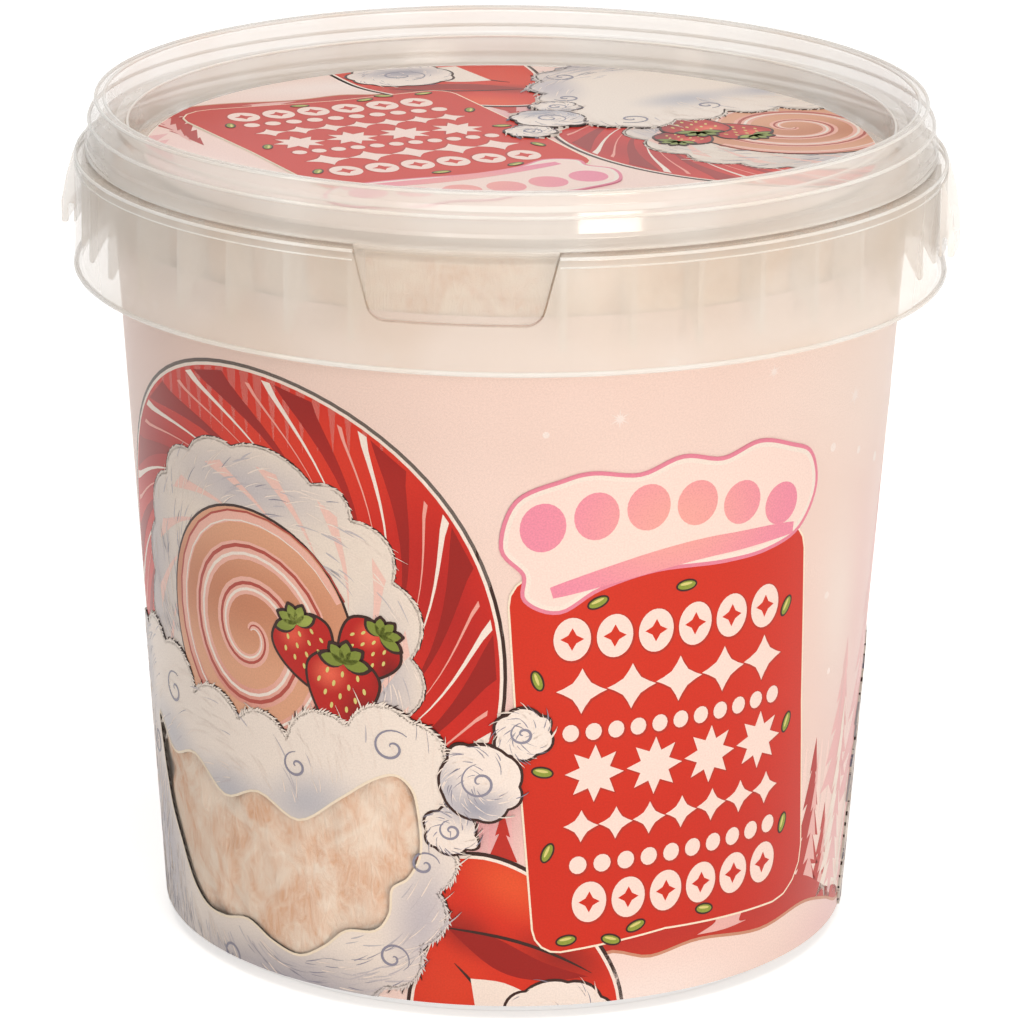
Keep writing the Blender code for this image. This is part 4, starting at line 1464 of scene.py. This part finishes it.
seeds = ((20.1, 66.8, 24), (33.8, 68.1, 4), (53.1, 61.2, 62), (11.4, 54.8, -70), (55.4, 42.0, 70),
         (12.4, 40.2, -10), (13.4, 27.2, 66), (16.7, 12.8, 10), (28.1, 14.2, 20), (40.4, 15.0, -8),
         (56.5, 25.3, 76), (24.0, 12.4, -16))
for grow, level, mat in ((0.0, 18, brown_ink), (-0.30, 19, seed_ink)):
    field([ellipse(s, z, 1.75 + grow, 0.95 + grow, turn) for s, z, turn in seeds], level, mat)
field([ellipse(s - 0.1, z + 0.22, 1.0, 0.22, turn) for s, z, turn in seeds], 20, seed_light)
print("panel:", len(shapes), "shapes and", len(seeds), "seeds")

# %% [markdown]
# ## Blank banner
# A pink-edged banner rides on the panel's top. Its middle is left plain: a row
# of soft round puffs over a waving stripe.

# %% Banner
banner_line = ink("Offset ink, banner pink", "#E4859B")
banner_ink = ink("Offset ink, sugar pink", "#EC8FA6", (
    (32.0, 78.0, 22.0, 16.0, 0.0, "#F2A99F", 0.95),), speckle=0.10)
banner = smooth([
    (6.2, 75.6), (8.2, 82.6), (14.6, 85.6), (19.0, 86.6), (25.8, 85.9), (32.2, 88.0), (38.8, 86.8),
    (45.2, 88.4), (51.6, 86.6), (56.0, 84.4), (57.6, 79.0), (54.4, 73.6), (48.0, 71.6), (40.2, 71.2),
    (29.0, 71.4), (20.3, 69.2), (14.4, 65.8), (9.6, 67.6), (9.4, 71.6)], 6)
keyed(banner, 18, banner_line, white_ink, pale_ink_bold, 0.6, 0.7)
wave = [(13.2 + 40.0 * t, 68.6 + 7.4 * math.sin(2.0 * t) - 3.2 * t + 9.0 * max(t - 0.7, 0.0) ** 1.5)
        for t in (k / 24 for k in range(25))]
puff_row = [ellipse(11.8 + 7.7 * k, 78.2 + 2.9 * math.sin(0.2 + 0.6 * k),
                    3.3, 3.8 - 0.1 * k, -12.0 + 6.0 * k) for k in range(6)]
field(puff_row, 21, banner_ink)
field([ribbon(wave, 3.2, 0.55)], 22, banner_ink)
print("banner:", len(puff_row), "puffs over one stripe")

# %% [markdown]
# ## Flakes
# Six-armed flakes and round dots of snow drift over the ground. A flake is a
# long thin star, with a smaller one turned by half a step laid over it.

# %% Flakes
flakes = [(-1.6, 50.6, 2.2), (22.4, 95.0, 1.6), (67.4, 90.8, 1.8), (47.0, 99.0, 1.2), (92.0, 84.0, 1.8),
          (84.0, 98.0, 1.3), (-70.0, 101.0, 1.5)]
dots = [(1.4, 46.6, 0.8), (-4.6, 30.4, 0.7), (30.0, 103.0, 0.7), (70.6, 81.4, 0.6), (12.0, 93.0, 0.5),
        (62.0, 84.0, 0.7), (88.0, 90.0, 0.5), (9.0, 56.0, 0.5), (79.0, 78.0, 0.8), (3.8, 61.4, 0.5),
        (-10.0, 104.0, 0.6), (64.0, 60.0, 0.6), (95.0, 72.0, 0.7), (67.0, 47.0, 0.5), (-54.0, 104.0, 0.7)]
flake_ink = ink("Offset ink, flake", "#FBEDE8")
field([star(s, z, r, 6, 0.16) for s, z, r in flakes], 3, flake_ink)
field([star(s, z, 0.62 * r, 6, 0.3, 60.0) for s, z, r in flakes], 4, flake_ink)
field([ellipse(s, z, r, r, 0.0, 16) for s, z, r in dots], 3, flake_ink)
print(len(flakes), "flakes and", len(dots), "dots")

# %% [markdown]
# ## Lid disc
# The lid's printed disc shows the same artwork, turned upside down and a little
# smaller, so every ink above was laid on it too. Under the inks lies the disc
# of film itself.

# %% Disc film
DISC_FILM = 0.33             # thickness of the film
bm = turned(rounded([(0.0, PANEL_TOP - DISC_FILM), (DISC_RADIUS, PANEL_TOP - DISC_FILM, 0.1),
                     (DISC_RADIUS, PANEL_TOP, 0.1), (0.0, PANEL_TOP)]), segments=DISC_SIDES)
film_ink = ink("White film, lid disc", "#F6EADF")
disc = finish(bm, "disc_film_base", film_ink, "lid_label")

# %% [markdown]
# ## Print run
# Each gathered run now becomes one piece, one for every ink of the sleeve and
# of the disc. Its normals are those of the smooth surface under it, so thin
# plates show no rim of false shading.

# %% Print run
for (place, ink_name), run in runs.items():
    printed(place, ink_name, run)
